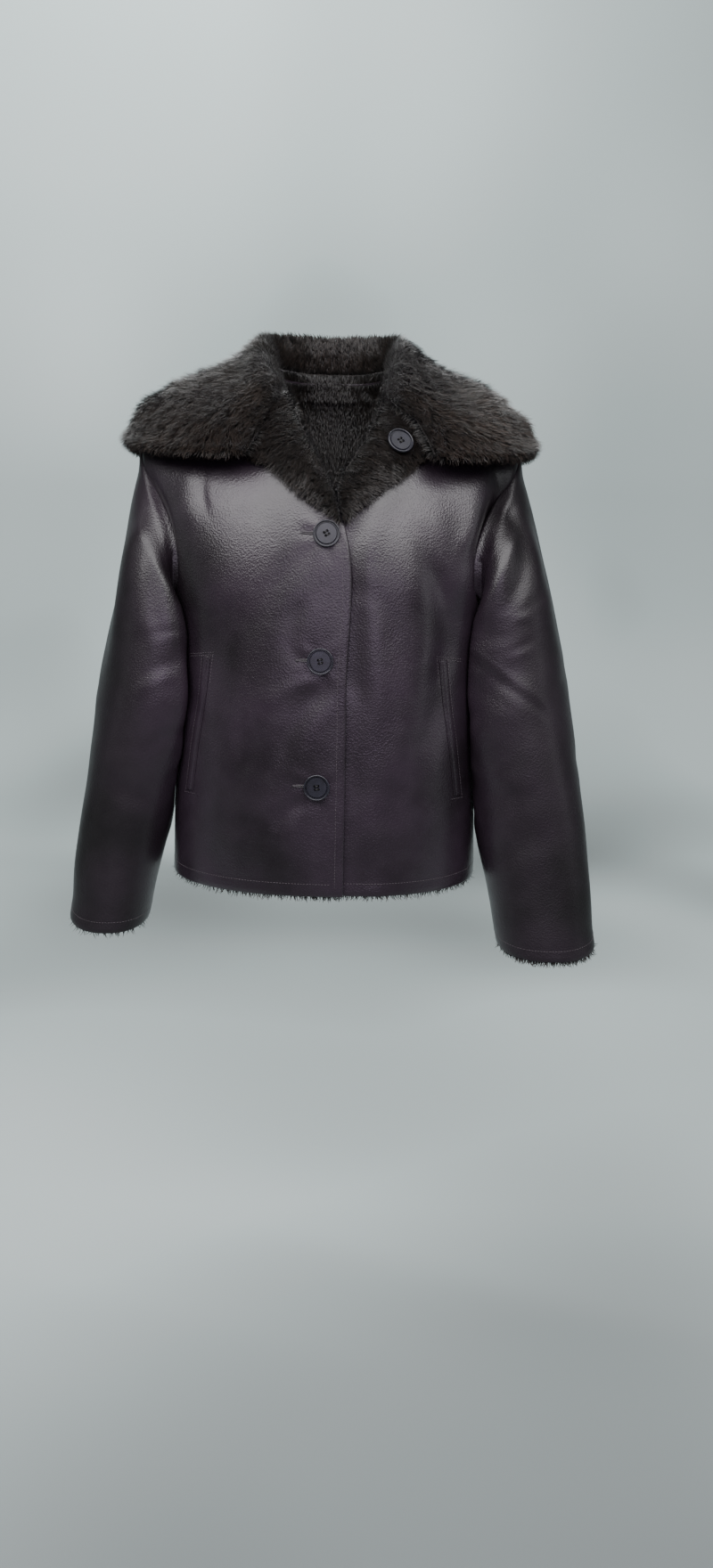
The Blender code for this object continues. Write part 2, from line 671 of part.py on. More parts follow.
def lapel_solid(name, table, side, fur):
    """The fur side of one front turned back: from its roll line out over the chest."""
    lines = along(table, LAPEL_ROWS + 1)
    t = np.linspace(0, 1, LAPEL_COLUMNS + 1)[None, :]
    x = lines[:, :1] * (1 - t) + lines[:, 2:3] * t
    z = lines[:, 1:2] * (1 - t) + lines[:, 3:4] * t
    high = smooth_step(np.linspace(-1.5, 1, LAPEL_ROWS + 1))[:, None]
    z = z + LAPEL_TOP_RISE * np.sin(t * math.pi) * high
    base, normal = chest(x, z)
    round_edge = np.sin(np.clip(t, 0.05, 0.95) * math.pi) ** 0.35
    round_end = smooth_step(np.linspace(0.25, 2.5, LAPEL_ROWS + 1))[:, None]
    lining = base + normal * LAYER_GAP * 2
    face = lining + normal * (LAPEL_THICK * round_edge * round_end)[..., None]
    return shell(name, mirrored(face, side), mirrored(lining, side), fur)


def lathe(name, profile, segments, made_of):
    """A closed turned solid about Z: the profile's ends lie on the axis."""
    turn = np.linspace(0, 2 * math.pi, segments, endpoint=False)
    rings = [[(r * math.cos(a), r * math.sin(a), z) for a in turn] for r, z in profile[1:-1]]
    verts = [(0, 0, profile[0][1])] + [v for ring in rings for v in ring] + [(0, 0, profile[-1][1])]
    faces = []
    for k in range(segments):
        n = (k + 1) % segments
        faces.append((0, 1 + n, 1 + k))
        for ring in range(len(rings) - 1):
            low, high = 1 + ring * segments, 1 + (ring + 1) * segments
            faces.append((low + k, low + n, high + n, high + k))
        top = 1 + (len(rings) - 1) * segments
        faces.append((top + k, top + n, len(verts) - 1))
    mesh = bpy.data.meshes.new(name)
    mesh.from_pydata(verts, [], faces)
    tidy = bmesh.new()
    tidy.from_mesh(mesh)
    bmesh.ops.recalc_face_normals(tidy, faces=tidy.faces)
    tidy.to_mesh(mesh)
    tidy.free()
    return add(name, mesh, made_of)


def button(name, place, normal, made_of):
    """A four-hole button with a raised rim, its back at the place and its face along the normal."""
    r, h = BUTTON_RADIUS, BUTTON_THICK
    profile = (
        (0, 0),
        (r * 0.80, 0),
        (r, h * 0.35),
        (r, h * 0.72),
        (r - BUTTON_RIM * 0.45, h),
        (r - BUTTON_RIM, h * 0.96),
        (r - BUTTON_RIM * 1.5, h - BUTTON_DISH),
        (0, h - BUTTON_DISH * 1.2),
    )
    made = lathe(name, profile, BUTTON_SEGMENTS, made_of)
    for k in range(4):
        a = math.pi / 4 + k * math.pi / 2
        bore = lathe(f"bore_{name}_{k}", BORE, BUTTON_HOLE_SEGMENTS, made_of)
        bore.hide_render = True
        bore.display_type = "WIRE"
        bore.location = (BUTTON_HOLE_OUT * math.cos(a), BUTTON_HOLE_OUT * math.sin(a), 0)
        cut = made.modifiers.new(f"hole_{k}", "BOOLEAN")
        cut.object = bore
        cut.operation = "DIFFERENCE"
        cut.solver = "EXACT"
    bpy.context.view_layer.update()
    graph = bpy.context.evaluated_depsgraph_get()
    holed = bpy.data.meshes.new_from_object(made.evaluated_get(graph))
    made.modifiers.clear()
    made.data = holed
    turn = Vector(normal).to_track_quat("Z", "Y").to_matrix().to_4x4()
    holed.transform(Matrix.Translation(Vector(place)) @ turn)
    for obj in [o for o in bpy.data.objects if o.name.startswith("bore_")]:
        bpy.data.objects.remove(obj, do_unlink=True)
    return made


def pocket_welt(name, side, leather):
    """The stitched fold along a pocket's mouth, laid on the front from its points moved out."""
    line = along(POCKET_MOUTH, POCKET_ROWS + 1)
    t = np.linspace(0, 1, 4)[None, :]
    x = line[:, :1] - POCKET_WELT_WIDTH * t
    z = np.repeat(line[:, 1:], 4, axis=1)
    base, normal = chest(x, z)
    lining = base + normal * LAYER_GAP
    thick = POCKET_WELT_THICK * np.array((1.0, 1.0, 0.9, 0.6))[None, :, None]
    return shell(name, mirrored(lining + normal * thick, side), mirrored(lining, side), leather)


def main():
    for obj in list(bpy.data.objects):
        bpy.data.objects.remove(obj, do_unlink=True)
    leather = material("leather", LEATHER_RGB, 0.35)
    fur = material("fur", FUR_RGB, 0.9)
    horn = material("horn", BUTTON_RGB, 0.25)

    right_front = front_grid(RIGHT_EDGE, False, FRONT_ROWS, FRONT_COLUMNS)
    left_front = front_grid(LEFT_EDGE, True, FRONT_ROWS, FRONT_COLUMNS)
    back = back_grid(BACK_ROWS, BACK_NECK_COLUMNS, BACK_SHOULDER_COLUMNS)
    body = []
    edge_normals = {}
    for name, grid, side in (("front_right", right_front, -1), ("front_left", left_front, 1)):
        trimmed = pulled_in(grid, ("top", "right"), SEAM)
        normal = seam_normals(trimmed, False)
        edge_normals[side] = normal
        lining = trimmed - normal * WALL
        body.append(shell(name, mirrored(trimmed, side), mirrored(lining, side), leather))
    trimmed = pulled_in(back, ("top", "left", "right"), SEAM)
    normal = seam_normals(trimmed, True)
    edge_normals[0] = normal
    body.append(shell("back", trimmed, trimmed - normal * WALL, leather))

    back_half = back[:, BACK_COLUMNS // 2:]
    for name, table, side, front in (
        ("sleeve_right", SLEEVE_RIGHT, -1, right_front),
        ("sleeve_left", SLEEVE_LEFT, 1, left_front),
    ):
        loop = armhole_loop(front, back_half)
        rim = armhole_loop(edge_normals[side], edge_normals[0][:, BACK_COLUMNS // 2:])
        grid = sleeve_grid(table, loop, side)
        normal = normals_of(grid, wrap=True)
        if normal[-3, 0, 0] < 0:
            normal = -normal
        turn = np.linspace(0, 2 * math.pi, len(loop), endpoint=False)
        under_arm = smooth_step((-np.cos(turn) - 0.35) / 0.4)[:, None]
        into = loop.mean(axis=0) - loop
        into -= np.sum(into * rim, axis=1, keepdims=True) * rim
        into /= np.linalg.norm(into, axis=1, keepdims=True)
        normal[0] = rim * (1 - under_arm) - into * under_arm
        normal[0] /= np.linalg.norm(normal[0], axis=-1, keepdims=True)
        lining = clear_of_torso(grid - normal * WALL)
        body.append(shell(name, mirrored(grid, side), mirrored(lining, side), leather, wrap=True))

    tree = tree_of(body)
    collar_solid("collar", tree, fur)
    lapel_solid("lapel_right", LAPEL_RIGHT, -1, fur)
    lapel_solid("lapel_left", LAPEL_LEFT, 1, fur)
    pocket_welt("pocket_welt_right", -1, leather)
    pocket_welt("pocket_welt_left", 1, leather)
    for name, x, z in BUTTONS:
        place, normal = chest(np.array(x), np.array(z))
        button(name, place + normal * BUTTON_SHANK, normal, horn)
    name, x, z = LAPEL_BUTTON
    place, normal = chest(np.array(x), np.array(z))
    button(name, place + normal * (LAPEL_THICK + LAYER_GAP * 2 + LAPEL_BUTTON_SHANK), normal, horn)


main()
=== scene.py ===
"""Short jacket of bonded faux shearling, worn and buttoned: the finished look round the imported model.

Run as a script. Each operator below makes one piece or one group of pieces.
"""

import json
import math

import bmesh
import bpy
import numpy as np
from bpy.props import FloatProperty, FloatVectorProperty, IntProperty, PointerProperty
from mathutils import Matrix, Vector
from mathutils.bvhtree import BVHTree

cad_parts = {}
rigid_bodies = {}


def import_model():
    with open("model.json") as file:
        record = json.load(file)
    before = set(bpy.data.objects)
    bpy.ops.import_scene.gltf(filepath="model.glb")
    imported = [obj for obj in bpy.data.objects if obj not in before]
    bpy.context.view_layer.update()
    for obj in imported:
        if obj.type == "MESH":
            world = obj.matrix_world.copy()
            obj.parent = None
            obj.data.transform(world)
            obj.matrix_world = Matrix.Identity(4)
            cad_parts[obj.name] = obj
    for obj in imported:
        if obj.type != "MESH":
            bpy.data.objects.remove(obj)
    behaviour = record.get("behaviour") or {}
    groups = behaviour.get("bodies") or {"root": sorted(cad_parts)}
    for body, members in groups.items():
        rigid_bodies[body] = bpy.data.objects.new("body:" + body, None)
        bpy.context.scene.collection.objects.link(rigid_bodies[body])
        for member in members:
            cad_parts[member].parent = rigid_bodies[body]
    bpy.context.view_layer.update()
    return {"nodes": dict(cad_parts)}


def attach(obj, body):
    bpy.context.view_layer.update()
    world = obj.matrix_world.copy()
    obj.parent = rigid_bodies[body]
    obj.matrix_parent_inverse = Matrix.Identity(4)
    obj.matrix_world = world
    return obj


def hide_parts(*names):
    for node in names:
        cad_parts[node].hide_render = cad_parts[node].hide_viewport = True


bl_info = {
    "name": "Faux Shearling Jacket",
    "version": (1, 0, 0),
    "blender": (4, 5, 0),
    "location": "3D View > Sidebar > Jacket",
    "description": "Builds a short buttoned jacket with a wide fur collar",
    "category": "Object",
}

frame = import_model()
BODY = "root"

# ---------------------------------------------------------------- sizes of the cut, in metres
SEAM = 0.00025
LAYER_GAP = 0.0006
FRONT_ROWS = 24
FRONT_COLUMNS = 12
BACK_ROWS = 24
BACK_NECK_COLUMNS = 10
BACK_SHOULDER_COLUMNS = 7
BACK_COLUMNS = BACK_NECK_COLUMNS + 2 * BACK_SHOULDER_COLUMNS

# ---------------------------------------------------------------- finer sizes, in metres
REFINE = 5  # divisions of each cell of the panels
RIM_ROWS = 3  # rows of points round the rim of a sheet
WALL = 0.0036  # leather face with its clipped pile, as it shows at an edge
SEAM_DIP = 0.0016  # how far cloth turns in at a sewn seam
SEAM_DIP_WIDTH = 0.0030
STITCH_GROOVE = 0.0005
EDGE_STITCH = 0.0085  # from the front edge to its line of stitches
HEM_STITCH = 0.0135
CUFF_STITCH = 0.0120
EVEN_OUT = 0.0011  # slow unevenness of worn cloth
CALM_Z = -0.220  # above this the chest is drawn smooth
ELBOW_EASE = 0.014  # fullness of a sleeve in front, above the elbow
ELBOW_EASE_Z = -0.190
ELBOW_EASE_ABOVE = 0.045  # how far up and down that fullness reaches
ELBOW_EASE_BELOW = 0.100
PUCKER = 0.0007
FUR_DEPTH = 0.0068  # from the fur's skin to the reach of its tips

# Creases of the panels: from x, z to x, z on the panel's own side, half width, trough (a ridge below zero)
FRONT_FOLDS_RIGHT = (
    # x0, z0, x1, z1, half width, trough
    (0.1330, -0.100, 0.1345, -0.150, 0.0045, 0.0010),
    (0.150, -0.105, 0.152, -0.165, 0.0120, -0.0012),
    (0.010, -0.195, 0.060, -0.240, 0.0130, 0.0008),
    (0.000, -0.345, 0.045, -0.420, 0.0120, 0.0020),
    (0.015, -0.335, 0.060, -0.365, 0.0080, -0.0010),
    (0.020, -0.470, 0.052, -0.500, 0.0080, 0.0014),
    (0.120, -0.270, 0.090, -0.420, 0.0300, 0.0018),
    (0.155, -0.260, 0.150, -0.380, 0.0120, 0.0024),
    (0.080, -0.300, 0.055, -0.520, 0.0350, -0.0012),
    (0.030, -0.255, 0.032, -0.310, 0.0100, 0.0010),
    (0.140, -0.420, 0.125, -0.560, 0.0200, 0.0014),
)
FRONT_FOLDS_LEFT = (
    (0.150, -0.100, 0.148, -0.240, 0.0140, -0.0014),
    (0.191, -0.095, 0.173, -0.195, 0.0120, 0.0050),
    (0.115, -0.200, 0.112, -0.420, 0.0160, 0.0030),
    (0.135, -0.230, 0.130, -0.330, 0.0140, 0.0022),
    (0.040, -0.235, 0.075, -0.290, 0.0140, 0.0010),
    (0.030, -0.330, 0.060, -0.420, 0.0150, 0.0013),
    (0.060, -0.440, 0.050, -0.570, 0.0250, 0.0013),
    (0.120, -0.420, 0.110, -0.560, 0.0250, -0.0013),
)
BACK_FOLDS = (
    (0.160, -0.100, 0.155, -0.270, 0.0090, 0.0045),
    (-0.160, -0.100, -0.152, -0.280, 0.0090, 0.0050),
    (0.120, -0.280, 0.020, -0.330, 0.0130, 0.0022),
    (-0.125, -0.300, -0.010, -0.345, 0.0120, 0.0026),
    (0.110, -0.345, 0.010, -0.380, 0.0120, 0.0020),
    (-0.110, -0.365, -0.030, -0.395, 0.0110, 0.0018),
    (0.060, -0.120, 0.050, -0.260, 0.0180, 0.0014),
    (-0.055, -0.130, -0.060, -0.250, 0.0160, 0.0012),
    (0.070, -0.440, 0.055, -0.570, 0.0220, 0.0020),
    (-0.080, -0.430, -0.062, -0.570, 0.0240, 0.0022),
    (0.010, -0.450, -0.005, -0.570, 0.0200, -0.0012),
)
SLEEVE_CREASES = (
    # side, down 0-1, around 0-1, half width down, half width around, slant, trough
    (1, 0.255, 0.15, 0.009, 0.060, 0.15, 0.0009),
    (1, 0.275, 0.18, 0.008, 0.050, -0.35, -0.0006),
    (1, 0.335, 0.18, 0.009, 0.045, 0.30, 0.0010),
    (1, 0.405, 0.22, 0.010, 0.130, -0.57, -0.0008),
    (1, 0.428, 0.22, 0.012, 0.110, -0.57, 0.0008),
    (1, 0.500, 0.36, 0.018, 0.070, 0.30, 0.0012),
    (1, 0.620, 0.25, 0.020, 0.050, 0.10, -0.0010),
    (1, 0.760, 0.28, 0.024, 0.090, 0.30, 0.0008),
    (1, 0.220, 0.42, 0.014, 0.070, 0.50, 0.0020),
    (1, 0.340, 0.62, 0.016, 0.100, -0.70, 0.0020),
    (1, 0.440, 0.70, 0.015, 0.110, -0.50, 0.0022),
    (1, 0.550, 0.66, 0.016, 0.090, -0.30, 0.0016),
    (1, 0.400, 0.00, 0.022, 0.080, 0.20, 0.0008),
    (1, 0.600, 0.95, 0.024, 0.090, -0.30, 0.0010),
    (-1, 0.310, 0.25, 0.014, 0.060, -0.35, 0.0005),
    (-1, 0.400, 0.22, 0.016, 0.080, -0.38, 0.0006),
    (-1, 0.430, 0.22, 0.014, 0.080, -0.38, -0.0003),
    (-1, 0.550, 0.30, 0.018, 0.080, -0.20, 0.0009),
    (-1, 0.680, 0.22, 0.022, 0.080, 0.20, 0.0007),
    (-1, 0.220, 0.42, 0.014, 0.070, 0.50, 0.0020),
    (-1, 0.350, 0.64, 0.016, 0.100, -0.60, 0.0022),
    (-1, 0.460, 0.70, 0.015, 0.110, -0.60, 0.0020),
    (-1, 0.570, 0.66, 0.016, 0.090, -0.25, 0.0016),
    (-1, 0.440, 0.02, 0.022, 0.080, -0.20, 0.0009),
)
# Long troughs down the front of the sleeve heads, as the panels' creases
SLEEVE_FRONT_FOLDS_RIGHT = (
    (0.212, -0.150, 0.224, -0.270, 0.0120, 0.0020),
    (0.178, -0.200, 0.186, -0.290, 0.0090, 0.0018),
)
SLEEVE_FRONT_FOLDS_LEFT = (
    (0.197, -0.125, 0.208, -0.250, 0.0110, 0.0042),
    (0.230, -0.120, 0.246, -0.225, 0.0110, 0.0024),
)
# Where cloth sinks at an armhole seam: side, upper z, lower z, depth, reach on the body, reach on the sleeve
ARMHOLE_SINKS = (
    (1, -0.095, -0.270, 0.0095, 0.0135, 0.0060),
    (-1, -0.095, -0.265, 0.0065, 0.0090, 0.0050),
)
INSIDE_FROM_ROW = 84  # fine row of the back from which its inside shows through the neck
EDGE_BAND_ROWS = 9  # fine rows of pile behind an edge
SLIT_LENGTH = 0.030
SLIT_REACH = 0.0275  # from a button's middle to the far end of its slit
BUTTON_RING = 0.0016  # width of the bright rim, finer than the solid shows it
BUTTON_GROOVE = 0.0022  # depth of the ring cut inside a button's rim
BUTTON_TURNS = {"button_top": 0.55, "button_middle": 0.25, "button_bottom": 0.10, "button_lapel": 0.55}
HEM_SKIP = 2  # fine rows left out of the front edge's stitching at the hem
EDGE_TOP = 88  # the last fine row of that stitching
EDGE_SKIP = 3  # fine columns of the right front's hem left unstitched at its free edge
UNDER_SKIP = 8  # fine columns of the left front's hem under the right one

COLLAR_END_SINK = 0.0050  # the ends of the collar thin out over the lapels
COLLAR_END_DRAWN = 0.012  # how far the collar's left end is brushed back from the lapel's button
NECK_BACK_OFF = 0.0155  # how far the pile inside the neck leans back below the seam
NECK_DROP = 0.022  # pile seen inside the neck below the collar's seam
GORGE_REACH = 0.020  # how far a lapel's top passes under the collar's end
LAPEL_PAINTED_SHADE = 0.55  # painted shade: lightness of the lapels' fur as a share of the collar's
FUR_TREE = "Fur on a skin"
STITCH_TREE = "Stitches on a line"
STITCH_SHARE = 0.78  # a stitch's length as a share of the step to the next
RANDOM_FLOAT = 1  # place of the plain number among a random value's outputs
LEATHER_ROUGHNESS = (0.28, 0.36)  # from the glossier patches to the duller ones
LEATHER_SPECULAR = (0.55, 0.38)  # on the body and on the sleeves
SLEEVE_SHADE_AND_FINISH_X = (0.185, 0.225)  # aside of the middle, where the body's finish turns into the sleeves', with their painted shade
# painted shade: the sleeves' leather colour multiplied darker
SLEEVE_PAINTED_SHADE = (0.62, 0.62, 0.60, 1)
SLEEVE_DULLER = 0.14  # roughness added on the sleeves
# Painted light: patches where the collar's fur is drawn lighter, a sheen where light catches it
PAINTED_LIGHT_PATCHES = (
    # x, z, radius, how much lighter the fur is drawn there: painted light, a patch of sheen on the collar's
    # fur
    (0.175, -0.045, 0.055, 0.50),
    (-0.120, -0.015, 0.050, 0.25),
    (-0.170, -0.070, 0.040, 0.20),
)

# Stage
CAMERA_FOCAL = 1322.0  # in pixels of the frame
FRAME_HEIGHT = 1760
SENSOR_HEIGHT = 36.0
CAMERA_PITCH = 9.3
CAMERA_ROLL = 1.16
CAMERA_PLACE = (0.038, -1.42, -0.2376)
FLOOR_Z = -1.05
SWEEP_Y = 3.4
SWEEP_ROUND = 1.2
WORLD_STRENGTH = 0.16  # light of the surroundings on the jacket
BACKDROP_STRENGTH = 0.55  # the same as the camera sees it
LIGHTS = (
    # name, place, aimed at, width, height, power, tint
    ("broad softbox", (-0.10, -1.25, 0.78), (-0.07, -0.35, -0.36), 3.3, 1.30, 76.0, (1.0, 0.99, 1.0)),
    ("left fill", (-2.4, -0.5, 0.2), (0.0, 0.0, -0.3), 0.9, 1.6, 2.0, (0.95, 0.98, 1.0)),
    ("right fill", (2.4, -0.9, 0.2), (0.0, 0.0, -0.3), 0.9, 1.6, 5.0, (0.95, 0.98, 1.0)),
    ("front glow", (0.35, -2.9, -0.02), (0.12, 0.0, -0.30), 2.0, 0.5, 10.0, (0.90, 0.72, 1.0)),
    ("back fill", (0.0, 2.3, 1.5), (0.0, 0.1, -0.3), 2.6, 1.0, 45.0, (1.0, 1.0, 1.0)),
    ("wall light", (-0.6, 1.6, 2.6), (0.0, 3.4, 0.6), 4.0, 0.8, 150.0, (0.96, 1.0, 1.0)),
)

# Torso: half width and depth of its outline at each height
TORSO = (
    # z, half width, depth in front, depth behind
    (-0.590, 0.1835, 0.1300, 0.1260),
    (-0.530, 0.1825, 0.1310, 0.1250),
    (-0.450, 0.1795, 0.1325, 0.1230),
    (-0.350, 0.1765, 0.1330, 0.1215),
    (-0.270, 0.1830, 0.1320, 0.1220),
    (-0.200, 0.2060, 0.1300, 0.1230),
    (-0.120, 0.2360, 0.1280, 0.1230),
    (0.060, 0.2500, 0.1260, 0.1220),
)
TORSO_POWER = 2.3  # 2 is an ellipse, more is squarer
FRONT_ROUNDING = 0.250  # height over which the chest rounds back to the shoulder seam
FRONT_ROUNDING_POWER = 0.70
BACK_ROUNDING = 0.180
SHOULDER = (
    # x, z of the shoulder line
    (0.000, 0.0400),
    (0.020, 0.0358),
    (0.045, 0.0245),
    (0.068, 0.0100),
    (0.140, -0.0160),
    (0.185, -0.0335),
    (0.207, -0.0470),
    (0.218, -0.0620),
    (0.2240, -0.0800),
    (0.2280, -0.1000),
)
NECK_X = 0.068
NECK_BACK_Y = 0.066
SHOULDER_TIP_X = 0.2215
ARMPIT_Z = -0.275
HEM_FRONT_Z = -0.5780
HEM_SIDE_Z = -0.5700
HEM_BACK_Z = -0.5720

# Front edges: x is measured to the other side of the middle, z upward
RIGHT_EDGE = (
    (-0.0240, HEM_FRONT_Z),
    (-0.0235, -0.3500),
    (-0.0200, -0.1740),
    (-0.0040, -0.1290),
    (0.0210, -0.0870),
    (0.0480, -0.0380),
    (0.0600, -0.0100),
    (NECK_X, 0.0098),
)
LEFT_EDGE = (
    (-0.0130, HEM_FRONT_Z),
    (-0.0130, -0.3500),
    (-0.0100, -0.1760),
    (0.0090, -0.1290),
    (0.0350, -0.0870),
    (0.0560, -0.0380),
    (0.0640, -0.0100),
    (NECK_X, 0.0098),
)
EDGE_ROWS = (0.00, 0.38, 0.66, 0.74, 0.82, 0.90, 0.96, 1.00)
UNDER_DEPTH = 0.0064  # the left front drops this far to pass under the right one
UNDER_FROM_X = 0.050
UNDER_FULL_X = 0.028

# Armholes
ARMHOLE_FRONT = (
    # x, z
    (0.1790, -0.2640),
    (0.1725, -0.2400),
    (0.1740, -0.2020),
    (0.1870, -0.1520),
    (0.2040, -0.1200),
    (0.2160, -0.0950),
)
ARMHOLE_BACK = (
    (0.1790, -0.2640),
    (0.1740, -0.2400),
    (0.1780, -0.2000),
    (0.1910, -0.1500),
    (0.2060, -0.1180),
    (0.2165, -0.0950),
)
SIDE_ROWS = 0.50  # share of a panel's rows below the armpit
TURN_STEP = 0.01  # steps that measure the torso's slope
HEIGHT_STEP = 0.002
OWN_NORMALS_Z = -0.160  # from here down a panel's walls follow the torso's own slope
OWN_NORMALS_BLEND = 0.040

# Sleeves: the outline on the side away from the body and on the body's side, at each height
SLEEVE_RIGHT = (
    # z, outer x, inner x, middle y, half depth, drop of the front, turn of the front inward
    (-0.300, 0.2610, 0.1540, -0.0110, 0.0840, 0.000, 0.340),
    (-0.345, 0.2700, 0.1440, -0.0140, 0.0840, 0.001, 0.420),
    (-0.400, 0.2770, 0.1500, -0.0150, 0.0790, 0.003, 0.400),
    (-0.450, 0.2860, 0.1650, -0.0150, 0.0710, 0.004, 0.280),
    (-0.510, 0.2950, 0.1830, -0.0170, 0.0630, 0.006, 0.180),
    (-0.570, 0.3030, 0.1990, -0.0210, 0.0580, 0.008, 0.120),
    (-0.628, 0.3070, 0.2110, -0.0240, 0.0550, 0.013, 0.100),
)
SLEEVE_LEFT = (
    (-0.300, 0.2790, 0.1590, -0.0080, 0.0800, 0.000, 0.300),
    (-0.345, 0.2880, 0.1540, -0.0120, 0.0780, 0.001, 0.340),
    (-0.400, 0.2975, 0.1570, -0.0180, 0.0730, 0.003, 0.320),
    (-0.450, 0.3050, 0.1670, -0.0250, 0.0670, 0.004, 0.240),
    (-0.510, 0.3130, 0.1790, -0.0330, 0.0590, 0.006, 0.160),
    (-0.580, 0.3210, 0.1960, -0.0420, 0.0530, 0.008, 0.080),
    (-0.646, 0.3270, 0.2090, -0.0510, 0.0490, 0.013, 0.040),
)
SLEEVE_POWER = 2.3
CAP_ROWS = 8
TUBE_ROWS = 15
CAP_REACH_TOP = 0.064  # how far the shoulder's direction is felt in the sleeve head
CAP_REACH_UNDER = 0.012
CAP_LEAVES_TOP = (0.50, 0.0, -1.20)  # direction out of the armhole at the shoulder tip
CAP_LEAVES_SIDE = (1.20, 0.0, -0.56)
ARMHOLE_GAP = 0.0008
BODY_CLEARANCE = 0.0022
SCOOP_TOP_Z = -0.200  # below this the sleeve lies against the body

# Collar: six points of its fur face at each station from the middle of the back to the gorge
COLLAR = (
    # seam, stand, roll, upper fall, lower fall, edge
    (
        (0.000, 0.058, 0.0185), (0.000, 0.064, 0.042), (0.000, 0.083, 0.065),
        (0.000, 0.110, 0.040), (0.000, 0.131, -0.028), (0.000, 0.143, -0.096),
    ),
    (
        (0.033, 0.050, 0.0180), (0.036, 0.055, 0.042), (0.043, 0.074, 0.065),
        (0.064, 0.100, 0.039), (0.087, 0.120, -0.026), (0.100, 0.131, -0.094),
    ),
    (
        (0.054, 0.030, 0.0180), (0.059, 0.033, 0.040), (0.069, 0.046, 0.061),
        (0.100, 0.068, 0.034), (0.148, 0.086, -0.018), (0.182, 0.090, -0.088),
    ),
    (
        (0.060, 0.009, 0.0160), (0.065, 0.010, 0.035), (0.078, 0.012, 0.054),
        (0.113, 0.026, 0.028), (0.180, 0.036, -0.004), (0.236, 0.034, -0.076),
    ),
    (
        (0.060, -0.010, 0.0100), (0.064, -0.010, 0.026), (0.078, -0.012, 0.043),
        (0.115, -0.010, 0.021), (0.186, -0.008, -0.008), (0.240, -0.010, -0.072),
    ),
    (
        (0.0560, -0.026, 0.0010), (0.062, -0.028, 0.012), (0.074, -0.034, 0.023),
        (0.109, -0.048, -0.003), (0.167, -0.062, -0.036), (0.216, -0.064, -0.082),
    ),
    (
        (0.0510, -0.044, -0.0120), (0.057, -0.048, -0.005), (0.068, -0.056, 0.003),
        (0.097, -0.080, -0.024), (0.131, -0.098, -0.056), (0.156, -0.108, -0.090),
    ),
    (
        (0.0480, -0.0600, -0.0290), (0.0500, -0.0660, -0.0250), (0.0580, -0.0760, -0.0240),
        (0.0710, -0.0900, -0.042), (0.0860, -0.1040, -0.065), (0.1020, -0.1200, -0.090),
    ),
)
FRONT_SHIFT = 0.0075  # the opening sits this far to the wearer's left
COLLAR_COLUMNS = 44
COLLAR_CLEARANCE = 0.0030
COLLAR_ROWS = 14
COLLAR_THICK = (
    # share of the way from seam to edge, thickness
    (0.00, 0.0070),
    (0.20, 0.0080),
    (0.34, 0.0080),
    (0.50, 0.0125),
    (0.90, 0.0140),
    (1.00, 0.0110),
)

# Lapels: the fur side of each front, turned back; x toward that front's own side
LAPEL_RIGHT = (
    # roll line x, z and outer edge x, z, from the lower end up
    (-0.0150, -0.1620, -0.0155, -0.1650),
    (-0.0105, -0.1440, 0.0010, -0.1530),
    (-0.0010, -0.1180, 0.0230, -0.1400),
    (0.0130, -0.0930, 0.0420, -0.1240),
    (0.0270, -0.0660, 0.0640, -0.1060),
    (0.0390, -0.0370, 0.0860, -0.1000),
)
LAPEL_LEFT = (
    (0.0185, -0.1600, 0.0200, -0.1640),
    (0.0125, -0.1440, 0.0320, -0.1500),
    (0.0140, -0.1210, 0.0500, -0.1360),
    (0.0290, -0.0940, 0.0720, -0.1190),
    (0.0440, -0.0660, 0.0900, -0.1070),
    (0.0550, -0.0340, 0.1030, -0.0970),
)
LAPEL_TOP_RISE = 0.0080  # the upper edge bows up to follow the collar's end
LAPEL_THICK = 0.0120
LAPEL_ROWS = 12
LAPEL_COLUMNS = 6

# Buttons
BUTTON_RADIUS = 0.0145
BUTTON_THICK = 0.0042
BUTTON_DISH = 0.0011
BUTTON_HOLE_RADIUS = 0.0012
BUTTON_HOLE_OUT = 0.0026
BORE_RADIUS = BUTTON_HOLE_RADIUS * 1.3  # with the hole's rounded edge
BORE = ((0, -0.001), (BORE_RADIUS, -0.001), (BORE_RADIUS, 0.006), (0, 0.006))
BUTTON_SHANK = 0.0010  # thread between a front's face and the button
LAPEL_BUTTON_SHANK = 0.0006
BUTTONS = (
    # name, x, z
    ("button_top", 0.0005, -0.1775),
    ("button_middle", -0.0040, -0.3140),
    ("button_bottom", -0.0060, -0.4530),
)
LAPEL_BUTTON = ("button_lapel", 0.0735, -0.0830)

# Pocket mouths
POCKET_MOUTH = (
    # x, z down the mouth
    (0.1370, -0.3130),
    (0.1420, -0.3560),
    (0.1510, -0.4100),
    (0.1590, -0.4680),
)
POCKET_WELT_WIDTH = 0.009
POCKET_WELT_THICK = 0.0016

SLEEVE_FOLDS = (
    # side, down 0-1, around 0-1, half width down, half width around, slant, depth
    (1, 0.42, 0.25, 0.030, 0.130, 0.50, 0.0018),
    (1, 0.49, 0.25, 0.035, 0.130, 0.50, -0.0010),
    (1, 0.30, 0.25, 0.040, 0.100, -0.30, 0.0014),
    (1, 0.64, 0.30, 0.040, 0.120, 0.25, 0.0016),
    (1, 0.52, 0.72, 0.040, 0.140, -0.30, 0.0040),
    (-1, 0.38, 0.24, 0.040, 0.120, 0.30, 0.0012),
    (-1, 0.48, 0.22, 0.045, 0.120, 0.30, -0.0008),
    (-1, 0.50, 0.74, 0.040, 0.140, -0.28, 0.0040),
    (-1, 0.68, 0.28, 0.045, 0.120, 0.20, 0.0014),
)


